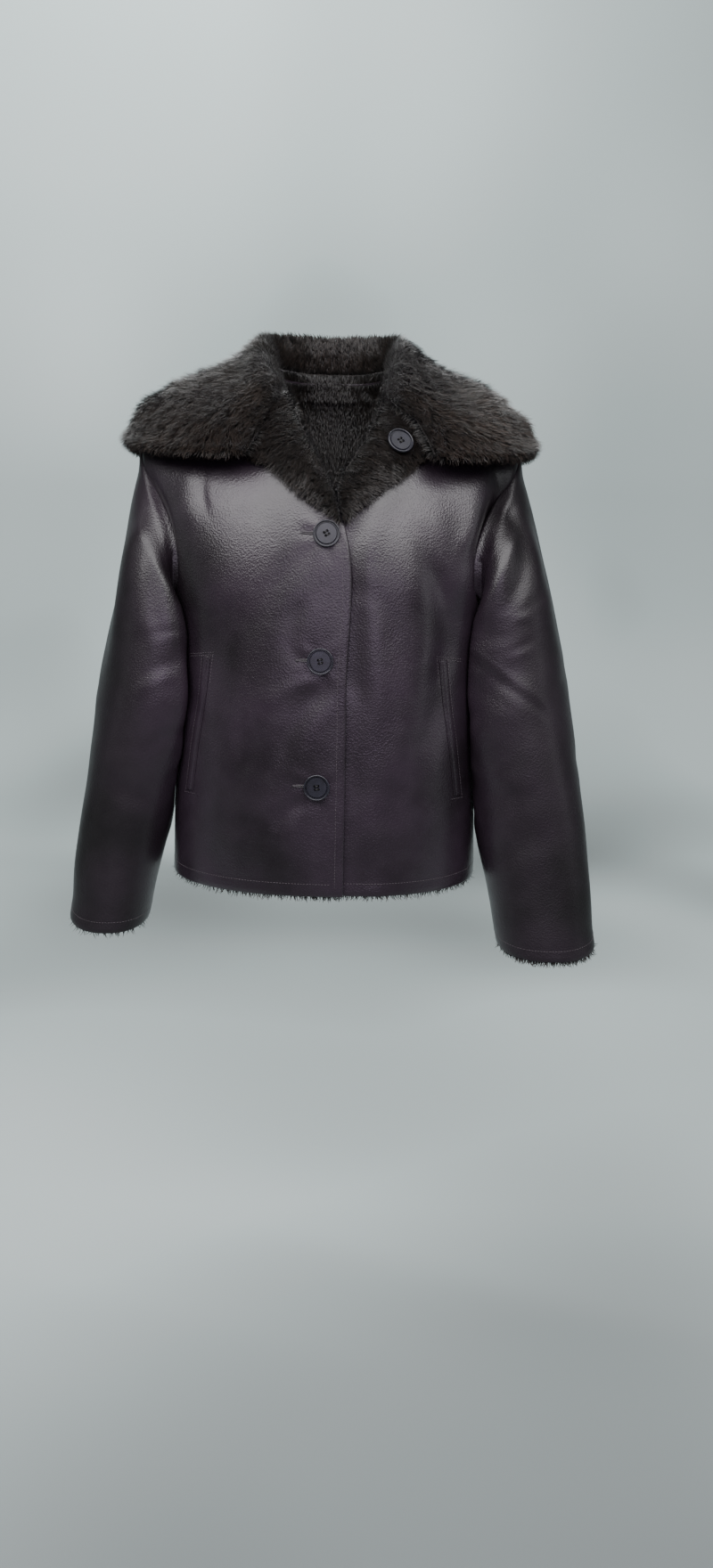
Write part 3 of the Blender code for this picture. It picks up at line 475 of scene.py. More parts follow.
def curve(knots, rows, at):
    """A smooth line through the rows, one row a knot, read at the places asked for."""
    knots = np.asarray(knots, float)
    rows = np.asarray(rows, float)
    at = np.clip(np.asarray(at, float), knots[0], knots[-1])
    slope = np.gradient(rows, knots, axis=0)
    low = np.clip(np.searchsorted(knots, at, side="right") - 1, 0, len(knots) - 2)
    span = knots[low + 1] - knots[low]
    t = (at - knots[low]) / span
    if rows.ndim > 1:
        t = t[..., None]
        span = span[..., None]
    start = rows[low] * (1 + 2 * t) * (1 - t) ** 2 + slope[low] * span * t * (1 - t) ** 2
    end = rows[low + 1] * t * t * (3 - 2 * t) + slope[low + 1] * span * t * t * (t - 1)
    return start + end


def smooth_step(t):
    t = np.clip(t, 0.0, 1.0)
    return t * t * (3 - 2 * t)


def along(rows, count):
    """The polyline through the rows, resampled at even distances."""
    rows = np.asarray(rows, float)
    knots = np.concatenate([[0], np.cumsum(np.linalg.norm(np.diff(rows, axis=0), axis=1))])
    return curve(knots, rows, np.linspace(0, knots[-1], count))


def torso_sizes(z):
    table = np.array(TORSO)
    return [curve(table[:, 0], table[:, k], z) for k in (1, 2, 3)]


def shoulder_z(x):
    table = np.array(SHOULDER)
    return curve(table[:, 0], table[:, 1], np.abs(x))


def torso_point(turn, z, behind):
    """The leather face at a turn from the middle (0) to the side (pi / 2) and at a height."""
    half, front, back = torso_sizes(z)
    x = half * np.sin(turn)
    depth = back if behind else -front
    section = np.maximum(1 - np.abs(np.sin(turn)) ** TORSO_POWER, 0) ** (1 / TORSO_POWER)
    rounding = BACK_ROUNDING if behind else FRONT_ROUNDING
    share = np.clip((shoulder_z(x) - z) / rounding, 0, 1)
    if behind:
        rounded = np.sqrt(1 - (1 - share) ** 2)
    else:
        rounded = np.sin(math.pi / 2 * share**FRONT_ROUNDING_POWER)
    y = depth * section * rounded
    return np.stack([x, y, np.broadcast_to(z, x.shape)], axis=-1)


def turn_of(x, z):
    half = torso_sizes(np.asarray(z, float))[0]
    return np.arcsin(np.clip(np.asarray(x) / half, -1, 1))


def unit(ways):
    """Directions brought to a length of one."""
    return ways / np.linalg.norm(ways, axis=-1, keepdims=True)


def torso_normal(x, z, behind):
    """The outward unit normal of the leather face above a place x, z."""
    turn = turn_of(x, z)
    high = np.minimum(turn + TURN_STEP, math.pi / 2)
    low = np.maximum(high - 2 * TURN_STEP, -math.pi / 2)
    over = torso_point(high, z, behind) - torso_point(low, z, behind)
    up = torso_point(turn, z + HEIGHT_STEP, behind) - torso_point(turn, z - HEIGHT_STEP, behind)
    normal = np.cross(up, over) if behind else np.cross(over, up)
    return unit(normal)


def side_line(armhole, hem_z, rows):
    """Turn and height up the side seam and then the armhole to the shoulder tip."""
    tip = (SHOULDER_TIP_X, float(shoulder_z(SHOULDER_TIP_X)))
    points = [(turn_of(x, z), z) for x, z in armhole + (tip,)]
    scoop = np.array([(math.pi / 2, ARMPIT_Z)] + points)
    length = np.concatenate([[0], np.cumsum(np.linalg.norm(np.diff(scoop * (0.18, 1), axis=0), axis=1))])
    low = np.linspace(0, 1, int(rows * SIDE_ROWS) + 1)
    seam = np.stack([np.full(low.size, math.pi / 2), hem_z + (ARMPIT_Z - hem_z) * low], axis=1)
    high = curve(length, scoop, np.linspace(0, length[-1], rows - low.size + 2))
    return np.concatenate([seam, high[1:]])


def patch(bottom, top, left, right):
    """The grid between four border lines that meet at their corners."""
    across = np.linspace(0, 1, len(bottom))[None, :, None]
    up = np.linspace(0, 1, len(left))[:, None, None]
    ruled = (1 - up) * bottom[None] + up * top[None]
    ruled = ruled + (1 - across) * left[:, None] + across * right[:, None]
    corners = (1 - up) * ((1 - across) * bottom[0] + across * bottom[-1])
    return ruled - corners - up * ((1 - across) * top[0] + across * top[-1])


def shoulder_line(count):
    """Points x, z at even distances along the shoulder seam, from the neck to the tip."""
    x = np.linspace(NECK_X, SHOULDER_TIP_X, 40)
    return along(np.stack([x, shoulder_z(x)], axis=1), count + 1)


def front_grid(edge, under, rows, columns):
    """The leather face of one front on the +X side, from its free edge to the side."""
    right = side_line(ARMHOLE_FRONT, HEM_SIDE_Z, rows)
    left_xz = curve(EDGE_ROWS, edge, np.linspace(0, 1, rows + 1))
    left = np.stack([turn_of(left_xz[:, 0], left_xz[:, 1]), left_xz[:, 1]], axis=1)
    t = np.linspace(0, 1, columns + 1)
    bottom_z = HEM_FRONT_Z + (HEM_SIDE_Z - HEM_FRONT_Z) * t**2
    bottom = np.stack([left[0, 0] + (right[0, 0] - left[0, 0]) * t, bottom_z], axis=1)
    seam = shoulder_line(columns)
    top = np.stack([turn_of(seam[:, 0], seam[:, 1]), seam[:, 1]], axis=1)
    left[-1] = top[0]
    cells = patch(bottom, top, left, right)
    points = torso_point(cells[..., 0], cells[..., 1], False)
    if under:
        drop = smooth_step((UNDER_FROM_X - points[..., 0]) / (UNDER_FROM_X - UNDER_FULL_X))
        points[..., 1] += UNDER_DEPTH * drop
    return points


def back_neckline(count):
    """Turn and height of the back neckline, from one neck point over the middle to the other."""
    round_neck = np.linspace(-math.pi / 2, math.pi / 2, count)
    x = NECK_X * np.sin(round_neck)
    half, _, back = torso_sizes(np.zeros(count))
    section = (1 - np.abs(x / half) ** TORSO_POWER) ** (1 / TORSO_POWER)
    reach = NECK_BACK_Y * np.cos(round_neck) / (back * section)
    z = shoulder_z(x) - BACK_ROUNDING * (1 - np.sqrt(1 - reach**2))
    return np.stack([turn_of(x, z), z], axis=1)


def back_grid(rows, neck_columns, shoulder_columns):
    """The leather face of the back, from the wearer's right to the left."""
    side = side_line(ARMHOLE_BACK, HEM_SIDE_Z, rows)
    other = side * (-1, 1)
    neck = back_neckline(neck_columns + 1)
    seam = shoulder_line(shoulder_columns)[1:]
    shoulder = np.stack([turn_of(seam[:, 0], seam[:, 1]), seam[:, 1]], axis=1)
    shoulder[-1] = side[-1]
    top = np.concatenate([shoulder[::-1] * (-1, 1), neck, shoulder])
    t = np.linspace(-1, 1, len(top))
    bottom_z = HEM_BACK_Z + (HEM_SIDE_Z - HEM_BACK_Z) * t**2
    bottom = np.stack([math.pi / 2 * t, bottom_z], axis=1)
    cells = patch(bottom, top, other, side)
    return torso_point(cells[..., 0], cells[..., 1], True)


def normals_of(grid, wrap=False):
    """The unit normal at each point of a grid, from its rows and columns."""
    down = np.gradient(grid, axis=0)
    if wrap:
        over = (np.roll(grid, -1, axis=1) - np.roll(grid, 1, axis=1)) / 2
    else:
        over = np.gradient(grid, axis=1)
    normal = np.cross(over, down)
    length = np.linalg.norm(normal, axis=-1, keepdims=True)
    return normal / np.maximum(length, 1e-12)


def pulled_in(grid, sides, gap):
    """The grid with the named borders moved inward over its own surface."""
    grid = grid.copy()
    views = {"bottom": (0, 1, 0), "top": (-1, -2, 0), "left": (0, 1, 1), "right": (-1, -2, 1)}
    for side in sides:
        edge, inner, axis = views[side]
        border = grid[edge] if axis == 0 else grid[:, edge]
        step = (grid[inner] if axis == 0 else grid[:, inner]) - border
        moved = border + unit(step) * gap
        if axis == 0:
            grid[edge] = moved
        else:
            grid[:, edge] = moved
    return grid


def mirrored(grid, side):
    return grid * (side, 1, 1)


def armhole_loop(front, back_half):
    """What lies on the armhole, from the shoulder tip down the front, round and up the back."""
    down = front[int(FRONT_ROWS * SIDE_ROWS):, -1][::-1]
    up = back_half[int(BACK_ROWS * SIDE_ROWS):, -1]
    return np.concatenate([down, up[1:-1]])


def seam_normals(grid, behind):
    """Outward normals of a panel, flat across its side and shoulder seams so that walls meet there."""
    normal = normals_of(grid)
    if (normal[5, grid.shape[1] // 2, 1] > 0) != behind:
        normal = -normal
    low = smooth_step((OWN_NORMALS_Z - grid[..., 2]) / OWN_NORMALS_BLEND)[..., None]
    normal = normal * (1 - low) + torso_normal(grid[..., 0], grid[..., 2], behind) * low
    below = int(len(grid) * SIDE_ROWS) + 1
    normal[:below, -1, 1] = 0
    normal[-1, :, 1] *= np.abs(grid[-1, :, 1]) > 0.002
    if behind:
        normal[:below, 0, 1] = 0
    return unit(normal)


def softened(grid, rounds):
    """A sleeve evened out on the side away from the body, its two ends held."""
    share = np.cos(np.linspace(0, 2 * math.pi, grid.shape[1], endpoint=False))
    weight = smooth_step(share / 2 + 0.5)[None, :, None] * 0.5
    for _ in range(rounds):
        beside = (np.roll(grid, 1, axis=1) + np.roll(grid, -1, axis=1))[1:-1] / 2
        even = (grid[:-2] + grid[2:]) / 4 + beside / 2
        grid = np.concatenate([grid[:1], grid[1:-1] * (1 - weight) + even * weight, grid[-1:]])
    return grid


def clear_of_torso(grid):
    """The sleeve with every point beside the torso moved out until it is clear of it."""
    grid = grid.copy()
    x, y, z = grid[..., 0], grid[..., 1], grid[..., 2]
    half, front, back = torso_sizes(z)
    depth = np.where(y < 0, front, back)
    share = np.clip(np.abs(y) / depth, 0, 1)
    limit = half * (1 - share**TORSO_POWER) ** (1 / TORSO_POWER)
    holes = [np.array(hole[::-1]) for hole in (ARMHOLE_FRONT, ARMHOLE_BACK)]
    ahead, astern = (np.interp(-z, -hole[:, 1], hole[:, 0]) for hole in holes)
    opening = np.where(y < 0, ahead, astern)
    scooped = smooth_step((holes[0][-1, 1] - z) / (holes[0][-1, 1] - ARMPIT_Z))
    opening = np.where(z < ARMPIT_Z, half, opening + (half - opening) * scooped)
    row = np.arange(len(grid))[:, None]
    limit = np.minimum(limit, opening) + BODY_CLEARANCE * smooth_step(row / 3)
    held = (row > 0) & (z < SCOOP_TOP_Z)
    grid[..., 0] = np.where(held, np.maximum(x, limit), x)
    return grid


def room_under(tree, points, inward):
    """How far each point can go inward before it meets the tree's surfaces."""
    found = np.full(points.shape[:2], 1.0)
    for r in range(points.shape[0]):
        for c in range(points.shape[1]):
            hit = tree.ray_cast(Vector(points[r, c]), Vector(inward[r, c]), 0.2)
            if hit[0] is not None:
                found[r, c] = hit[3]
    return found


def collar_grid(columns, rows):
    """The fur face of the collar: columns round the neck, rows from the seam to the edge."""
    half = np.array(COLLAR)
    whole = np.concatenate([half[::-1] * (-1, 1, 1), half[1:]])
    spread = np.linalg.norm(np.diff(whole[:, 4], axis=0), axis=1)
    spread = spread + np.linalg.norm(np.diff(whole[:, 1], axis=0), axis=1)
    knots = np.concatenate([[0], np.cumsum(spread)])
    at = np.linspace(0, knots[-1], columns + 1)
    stations = curve(knots, whole.reshape(len(whole), -1), at).reshape(columns + 1, -1, 3)
    face = np.stack([along(station, rows + 1) for station in stations], axis=1)
    face[..., 0] += FRONT_SHIFT * smooth_step(-face[..., 1] / 0.10)
    return face


def least_near(room):
    """The least of each value and its eight neighbours."""
    near = np.pad(room, 1, mode="edge")
    rows, columns = room.shape
    return np.min([near[r:r + rows, c:c + columns] for r in range(3) for c in range(3)], axis=0)


def spread(values):
    """Each value averaged with its eight neighbours, twice, and never made smaller."""
    soft = values
    for _ in range(2):
        near = np.pad(soft, 1, mode="edge")
        rows, columns = soft.shape
        soft = np.mean([near[r:r + rows, c:c + columns] for r in range(3) for c in range(3)], axis=0)
    return np.maximum(values, soft)


def chest(x, z):
    """The chest's face in front of which a lapel lies, and its outward normal."""
    return torso_point(turn_of(x, z), z, False), torso_normal(x, z, False)


def sleeve_grid(table, loop, side):
    """The leather face of a sleeve on the +X side: rows from the armhole to the cuff."""
    table = np.array(table)
    turn = np.linspace(0, 2 * math.pi, len(loop), endpoint=False)
    z = np.linspace(table[0, 0], table[-1, 0], TUBE_ROWS + 1)
    sizes = curve(-table[:, 0], table[:, 1:], -z)
    outer, inner, middle, depth, drop, inward = (sizes[:, k][:, None] for k in range(6))
    across = (outer - inner) / 2
    square = 2 / SLEEVE_POWER
    over = across * np.sign(np.cos(turn)) * np.abs(np.cos(turn)) ** square
    ahead = depth * np.sign(np.sin(turn)) * np.abs(np.sin(turn)) ** square
    x = (outer + inner) / 2 + over * np.cos(inward) - ahead * np.sin(inward)
    y = middle - ahead * np.cos(inward) - over * np.sin(inward)
    tube = np.stack([x, y, z[:, None] - drop * np.sin(turn)], axis=-1)
    high = (1 + np.cos(turn)) / 2
    reach = CAP_REACH_UNDER + (CAP_REACH_TOP - CAP_REACH_UNDER) * high**1.5
    steep = (high**2)[:, None]
    leave = np.array(CAP_LEAVES_SIDE) * (1 - steep) + np.array(CAP_LEAVES_TOP) * steep
    start = loop + leave * ARMHOLE_GAP
    leave = leave * reach[:, None]
    arrive = (tube[1] - tube[0]) / np.linalg.norm(tube[1] - tube[0], axis=-1, keepdims=True)
    fall = np.linalg.norm(tube[0] - start, axis=-1)
    arrive = arrive * fall[:, None] * 1.15
    t = np.linspace(0, 1, CAP_ROWS + 1)[:-1, None, None]
    cap = start * (1 + 2 * t) * (1 - t) ** 2 + leave * t * (1 - t) ** 2
    cap = cap + tube[0] * t * t * (3 - 2 * t) + arrive * t * t * (t - 1)
    grid = softened(np.concatenate([cap, tube]), 3)
    grid = folded(grid, side)
    return clear_of_torso(grid)


def folded(grid, side):
    """The sleeve with its main troughs and ridges pressed in along its normals."""
    normal = normals_of(grid, wrap=True)
    rows, columns = grid.shape[:2]
    down = np.linspace(0, 1, rows)[:, None]
    around = (np.arange(columns) / columns)[None, :]
    push = np.zeros((rows, columns))
    for fold_side, at, turn, wide, long, slant, depth in SLEEVE_FOLDS:
        if fold_side != side:
            continue
        off = (around - turn + 0.5) % 1 - 0.5
        line = down - at - slant * off
        push += depth * np.exp(-((line / wide) ** 2) - (off / long) ** 2)
    outward = np.sign(np.sum(normal * (grid - grid.mean(axis=1, keepdims=True))))
    return grid - normal * outward * push[..., None]


# ---------------------------------------------------------------- finer cloth on the same form


def refined(grid, times, wrap=False):
    """The grid with each cell divided, its new points on a smooth surface through the old ones."""
    rows = np.arange(grid.shape[0])
    finer = np.linspace(0, rows[-1], rows[-1] * times + 1)
    flat = curve(rows, grid.reshape(len(rows), -1), finer).reshape(len(finer), -1, grid.shape[2])
    turned = flat.transpose(1, 0, 2)
    if not wrap:
        columns = np.arange(turned.shape[0])
        finer = np.linspace(0, columns[-1], columns[-1] * times + 1)
        wide = curve(columns, turned.reshape(len(columns), -1), finer)
        return wide.reshape(len(finer), -1, grid.shape[2]).transpose(1, 0, 2)
    count = turned.shape[0]
    padded = np.concatenate([turned[-3:], turned, turned[:3]])
    knots = np.arange(-3, count + 3)
    finer = np.linspace(0, count, count * times, endpoint=False)
    wide = curve(knots, padded.reshape(len(knots), -1), finer)
    return wide.reshape(len(finer), -1, grid.shape[2]).transpose(1, 0, 2)


def from_border(grid, side):
    """How far each point lies over the surface from one border of its grid."""
    axis = 0 if side in ("bottom", "top") else 1
    step = np.linalg.norm(np.diff(grid, axis=axis), axis=-1)
    zero = np.zeros_like(step[:1] if axis == 0 else step[:, :1])
    far = np.concatenate([zero, np.cumsum(step, axis=axis)], axis=axis)
    if side in ("bottom", "left"):
        return far
    return far[-1:] - far if axis == 0 else far[:, -1:] - far


def creased(x, z, folds):
    """Depth of the cloth's troughs (above zero) and ridges at places x, z, from a table of folds."""
    depth = np.zeros(np.shape(x))
    for x0, z0, x1, z1, half_width, trough in folds:
        length = math.hypot(x1 - x0, z1 - z0)
        along_x, along_z = (x1 - x0) / length, (z1 - z0) / length
        t = ((x - x0) * along_x + (z - z0) * along_z) / length
        bend = 0.10 * length * np.sin(np.clip(t, -0.2, 1.2) * math.pi)
        off = (x - x0) * along_z - (z - z0) * along_x + bend
        fade = smooth_step((t + 0.25) / 0.45) * smooth_step((1.25 - t) / 0.45)
        ridge = np.exp(-(((off - 1.9 * half_width) / half_width) ** 2))
        depth += trough * fade * (np.exp(-((off / half_width) ** 2)) - 0.35 * ridge)
    return depth


def sleeve_creased(grid, folds, side):
    """Depth of a sleeve's troughs and ridges from a table of places down and around it."""
    rows, columns = grid.shape[:2]
    down = np.linspace(0, 1, rows)[:, None]
    around = (np.arange(columns) / columns)[None, :]
    depth = np.zeros((rows, columns))
    for fold_side, at, turn, wide, long, slant, trough in folds:
        if fold_side != side:
            continue
        off = (around - turn + 0.5) % 1 - 0.5
        line = down - at - slant * off
        fall = np.exp(-((off / long) ** 2))
        ridge = np.exp(-(((line - 1.8 * wide) / wide) ** 2))
        depth += trough * fall * (np.exp(-((line / wide) ** 2)) - 0.4 * ridge)
    return depth


def rippled(points, size, seed):
    """A slow unevenness between -1 and 1 made of a few crossing waves."""
    rng = np.random.default_rng(seed)
    total = np.zeros(points.shape[:-1])
    for _ in range(7):
        way = rng.normal(size=3)
        way *= 2 * math.pi / (size * rng.uniform(0.7, 1.6)) / np.linalg.norm(way)
        total += np.sin(points @ way + rng.uniform(0, 2 * math.pi))
    return total / 7


def cells_of(rows, columns, wrap=False):
    """The cells of a grid as faces, with a last row of cells back to its first column where it wraps."""
    cells = []
    for r in range(rows - 1):
        for c in range(columns if wrap else columns - 1):
            n = (c + 1) % columns
            cells.append((r * columns + c, r * columns + n, (r + 1) * columns + n, (r + 1) * columns + c))
    return cells


def walled(name, face, normal, thick, materials, wrap=False):
    """A closed sheet: leather outside, pile inside, with a rounded rim round its borders."""
    lining = face - normal * np.broadcast_to(thick, face.shape[:2])[..., None]
    rows, columns = face.shape[:2]
    verts = [face.reshape(-1, 3), lining.reshape(-1, 3)]
    far = rows * columns
    quads = cells_of(rows, columns, wrap)
    inner = [tuple(far + i for i in reversed(quad)) for quad in quads]
    loop = border_loop(rows, columns, wrap)
    rims = []
    base = 2 * far
    for ring, inward in loop:
        outside = face.reshape(-1, 3)[ring]
        inside = lining.reshape(-1, 3)[ring]
        outward = outside - face.reshape(-1, 3)[inward]
        outward /= np.maximum(np.linalg.norm(outward, axis=1, keepdims=True), 1e-9)
        half = np.linalg.norm(outside - inside, axis=1, keepdims=True) / 2
        strips = [np.array(ring)]
        for k in range(1, RIM_ROWS + 1):
            a = math.pi * k / (RIM_ROWS + 1)
            middle = outside + (inside - outside) * (1 - math.cos(a)) / 2
            verts.append(middle + outward * half * math.sin(a) * 0.8)
            strips.append(base + np.arange(len(ring)))
            base += len(ring)
        strips.append(far + np.array(ring))
        for upper, lower in zip(strips, strips[1:]):
            for k in range(len(ring)):
                n = (k + 1) % len(ring)
                rims.append((upper[n], upper[k], lower[k], lower[n]))
    mesh = bpy.data.meshes.new(name)
    everything = quads + inner + rims
    mesh.from_pydata(np.concatenate(verts).tolist(), [], [tuple(int(i) for i in f) for f in everything])
    for made_of in materials:
        mesh.materials.append(made_of)
    slots = np.zeros(len(everything), np.int32)
    slots[len(quads):len(quads) + len(inner)] = len(materials) - 1
    mesh.polygons.foreach_set("material_index", slots)
    return finished(name, mesh)


def border_loop(rows, columns, wrap):
    """The border points of a grid in order, each with the point inward of it."""
    if wrap:
        top = list(range(columns))
        bottom = [(rows - 1) * columns + c for c in range(columns)]
        return [(top, [i + columns for i in top]), (bottom[::-1], [i - columns for i in bottom[::-1]])]
    ring = [(0, c) for c in range(columns - 1)] + [(r, columns - 1) for r in range(rows - 1)]
    ring += [(rows - 1, c) for c in range(columns - 1, 0, -1)] + [(r, 0) for r in range(rows - 1, 0, -1)]
    inward = [(min(max(r, 1), rows - 2), min(max(c, 1), columns - 2)) for r, c in ring]
    return [([r * columns + c for r, c in ring], [r * columns + c for r, c in inward])]


def linked(name, data):
    """A new object with that data, in the scene."""
    made = bpy.data.objects.new(name, data)
    bpy.context.scene.collection.objects.link(made)
    return made


def finished(name, mesh):
    """The mesh as a smooth object at the origin, its faces turned outward."""
    tidy = bmesh.new()
    tidy.from_mesh(mesh)
    bmesh.ops.recalc_face_normals(tidy, faces=tidy.faces)
    tidy.to_mesh(mesh)
    tidy.free()
    mesh.shade_smooth()
    old = bpy.data.objects.get(name)
    if old is not None:
        bpy.data.objects.remove(old, do_unlink=True)
    return linked(name, mesh)


def joined(name, parts, made_of):
    """Several (points, faces) as one object."""
    points, faces = [], []
    base = 0
    for part_points, part_faces in parts:
        points.append(np.asarray(part_points, float))
        faces += [tuple(int(i) + base for i in face) for face in part_faces]
        base += len(part_points)
    mesh = bpy.data.meshes.new(name)
    mesh.from_pydata(np.concatenate(points).tolist(), [], faces)
    mesh.materials.append(made_of)
    return finished(name, mesh)


def tube(line, radius, sides=8, closed=False):
    """(points, faces) of a round strand along a line of points, its ends capped."""
    line = np.asarray(line, float)
    if closed:
        way = np.roll(line, -1, axis=0) - np.roll(line, 1, axis=0)
    else:
        way = np.gradient(line, axis=0)
    way = unit(way)
    first = unit(np.cross(way, (0.31, 0.17, 0.93)))
    second = np.cross(way, first)
    turn = np.linspace(0, 2 * math.pi, sides, endpoint=False)
    ring = first[:, None] * np.cos(turn)[:, None] + second[:, None] * np.sin(turn)[:, None]
    radius = np.broadcast_to(np.asarray(radius, float), len(line))
    points = (line[:, None] + ring * radius[:, None, None]).reshape(-1, 3)
    faces = []
    count = len(line)
    for r in range(count if closed else count - 1):
        low, high = r * sides, (r + 1) % count * sides
        for k in range(sides):
            n = (k + 1) % sides
            faces.append((low + k, low + n, high + n, high + k))
    if not closed:
        faces.append(tuple(range(sides))[::-1])
        faces.append(tuple((count - 1) * sides + k for k in range(sides)))
    return points, faces


def ridden(obj, nodes=()):
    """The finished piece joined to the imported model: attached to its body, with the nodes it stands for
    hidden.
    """
    if nodes:
        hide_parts(*nodes)
    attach(obj, BODY)
    return obj


# ---------------------------------------------------------------- the panels


def panel(grid, behind, sides, times):
    """(face, normal) of a body panel at fine size, its borders drawn in to the seams."""
    trimmed = pulled_in(grid, sides, SEAM)
    normal = seam_normals(trimmed, behind)
    face = refined(trimmed, times)
    normal = refined(normal, times)
    return face, unit(normal)


def seam_dip(face, sides, depth=SEAM_DIP):
    """How far the cloth turns in along its sewn borders."""
    total = np.zeros(face.shape[:2])
    for side in sides:
        total += depth * np.exp(-((from_border(face, side) / SEAM_DIP_WIDTH) ** 2))
    return total


def armhole_sink(face, border, side):
    """The fold in which a front and a sleeve meet at the armhole."""
    depth = np.zeros(face.shape[:2])
    seam = face[:, -1:] if border == "right" else face[:1]
    for sink_side, upper, lower, deep, on_body, on_sleeve in ARMHOLE_SINKS:
        if sink_side == side:
            z = np.broadcast_to(seam[..., 2], depth.shape)
            ahead = smooth_step((-0.03 - np.broadcast_to(seam[..., 1], depth.shape)) / 0.03)
            held = smooth_step((upper - z) / 0.03) * smooth_step((z - lower) / 0.05) * ahead
            reach = on_body if border == "right" else on_sleeve
            depth += deep * held * np.exp(-((from_border(face, border) / reach) ** 2))
    return depth


def stitched_groove(face, side, inset):
    return STITCH_GROOVE * np.exp(-(((from_border(face, side) - inset) / 0.0016) ** 2))


def front_face(side):
    """(face, normal) of one front on the +X side, with its creases, seams and stitched edges."""
    edge = RIGHT_EDGE if side < 0 else LEFT_EDGE
    grid = front_grid(edge, side > 0, FRONT_ROWS, FRONT_COLUMNS)
    face, normal = panel(grid, False, ("top", "right"), REFINE)
    x, z = face[..., 0], face[..., 2]
    depth = creased(x, z, FRONT_FOLDS_RIGHT if side < 0 else FRONT_FOLDS_LEFT)
    depth += EVEN_OUT * rippled(face, 0.11, 3 + side) * (0.35 + 0.65 * smooth_step((CALM_Z - z) / 0.10))
    for _, place_x, place_z in BUTTONS:
        depth += button_pull(x + place_x * -side, z - place_z, side)
    free = smooth_step(from_border(face, "left") / 0.02) * smooth_step(from_border(face, "bottom") / 0.02)
    depth = depth * free
    depth += seam_dip(face, ("top", "right")) + armhole_sink(face, "right", side)
    depth += stitched_groove(face, "left", EDGE_STITCH) + stitched_groove(face, "bottom", HEM_STITCH)
    return face - normal * depth[..., None], normal


def button_pull(x, z, side):
    """The slight puckers that a button draws in the cloth round it."""
    far = np.hypot(x, z)
    turn = np.arctan2(z, x)
    spokes = np.sin(turn * 7 + 0.8) * 0.6 + np.sin(turn * 4 + 2.0) * 0.4
    near = np.exp(-(((far - 0.019) / 0.012) ** 2))
    return (PUCKER * spokes * near + PUCKER * 1.2 * np.exp(-((far / 0.014) ** 2))) * (1 if side < 0 else 0.3)


def back_face():
    grid = back_grid(BACK_ROWS, BACK_NECK_COLUMNS, BACK_SHOULDER_COLUMNS)
    face, normal = panel(grid, True, ("top", "left", "right"), REFINE)
    depth = creased(face[..., 0], face[..., 2], BACK_FOLDS) + EVEN_OUT * rippled(face, 0.13, 11)
    free = smooth_step(from_border(face, "bottom") / 0.02)
    depth = depth * free + seam_dip(face, ("top", "left", "right"))
    depth += stitched_groove(face, "bottom", HEM_STITCH)
    return face - normal * depth[..., None], normal


def sleeve_face(side):
    """(face, normal) of one sleeve on the +X side."""
    edge = RIGHT_EDGE if side < 0 else LEFT_EDGE
    front = front_grid(edge, side > 0, FRONT_ROWS, FRONT_COLUMNS)
    back = back_grid(BACK_ROWS, BACK_NECK_COLUMNS, BACK_SHOULDER_COLUMNS)
    front_normal = seam_normals(pulled_in(front, ("top", "right"), SEAM), False)
    back_normal = seam_normals(pulled_in(back, ("top", "left", "right"), SEAM), True)
    middle = BACK_COLUMNS // 2
    loop = armhole_loop(front, back[:, middle:])
    rim = armhole_loop(front_normal, back_normal[:, middle:])
    coarse = sleeve_grid(SLEEVE_RIGHT if side < 0 else SLEEVE_LEFT, loop, side)
    normal = normals_of(coarse, wrap=True)
    if normal[-3, 0, 0] < 0:
        normal = -normal
    turn = np.linspace(0, 2 * math.pi, len(loop), endpoint=False)
    under_arm = smooth_step((-np.cos(turn) - 0.35) / 0.4)[:, None]
    into = loop.mean(axis=0) - loop
    into -= np.sum(into * rim, axis=1, keepdims=True) * rim
    into = unit(into)
    normal[0] = rim * (1 - under_arm) - into * under_arm
    face = refined(coarse, REFINE, wrap=True)
    normal = unit(refined(normal, REFINE, wrap=True))
    depth = sleeve_creased(face, SLEEVE_CREASES, side) + EVEN_OUT * 1.3 * rippled(face, 0.09, 21 + side)
    depth *= smooth_step(from_border(face, "bottom") / 0.03) * smooth_step(from_border(face, "top") / 0.03)
    depth += seam_dip(face, ("bottom",), SEAM_DIP * 1.1) + stitched_groove(face, "top", CUFF_STITCH)
    depth += armhole_sink(face, "bottom", side) * (face[..., 1] < 0)
    ahead = smooth_step((-0.02 - face[..., 1]) / 0.05)
    folds = SLEEVE_FRONT_FOLDS_RIGHT if side < 0 else SLEEVE_FRONT_FOLDS_LEFT
    free = smooth_step(from_border(face, "bottom") / 0.02)
    depth += creased(face[..., 0], face[..., 2], folds) * ahead * free
    above = face[..., 2] - ELBOW_EASE_Z
    ease = np.exp(-((above / np.where(above > 0, ELBOW_EASE_ABOVE, ELBOW_EASE_BELOW)) ** 2))
    depth -= ELBOW_EASE * ease * ahead * smooth_step(from_border(face, "bottom") / 0.04)
    face = clear_of_torso(face - normal * depth[..., None])
    return face, normal


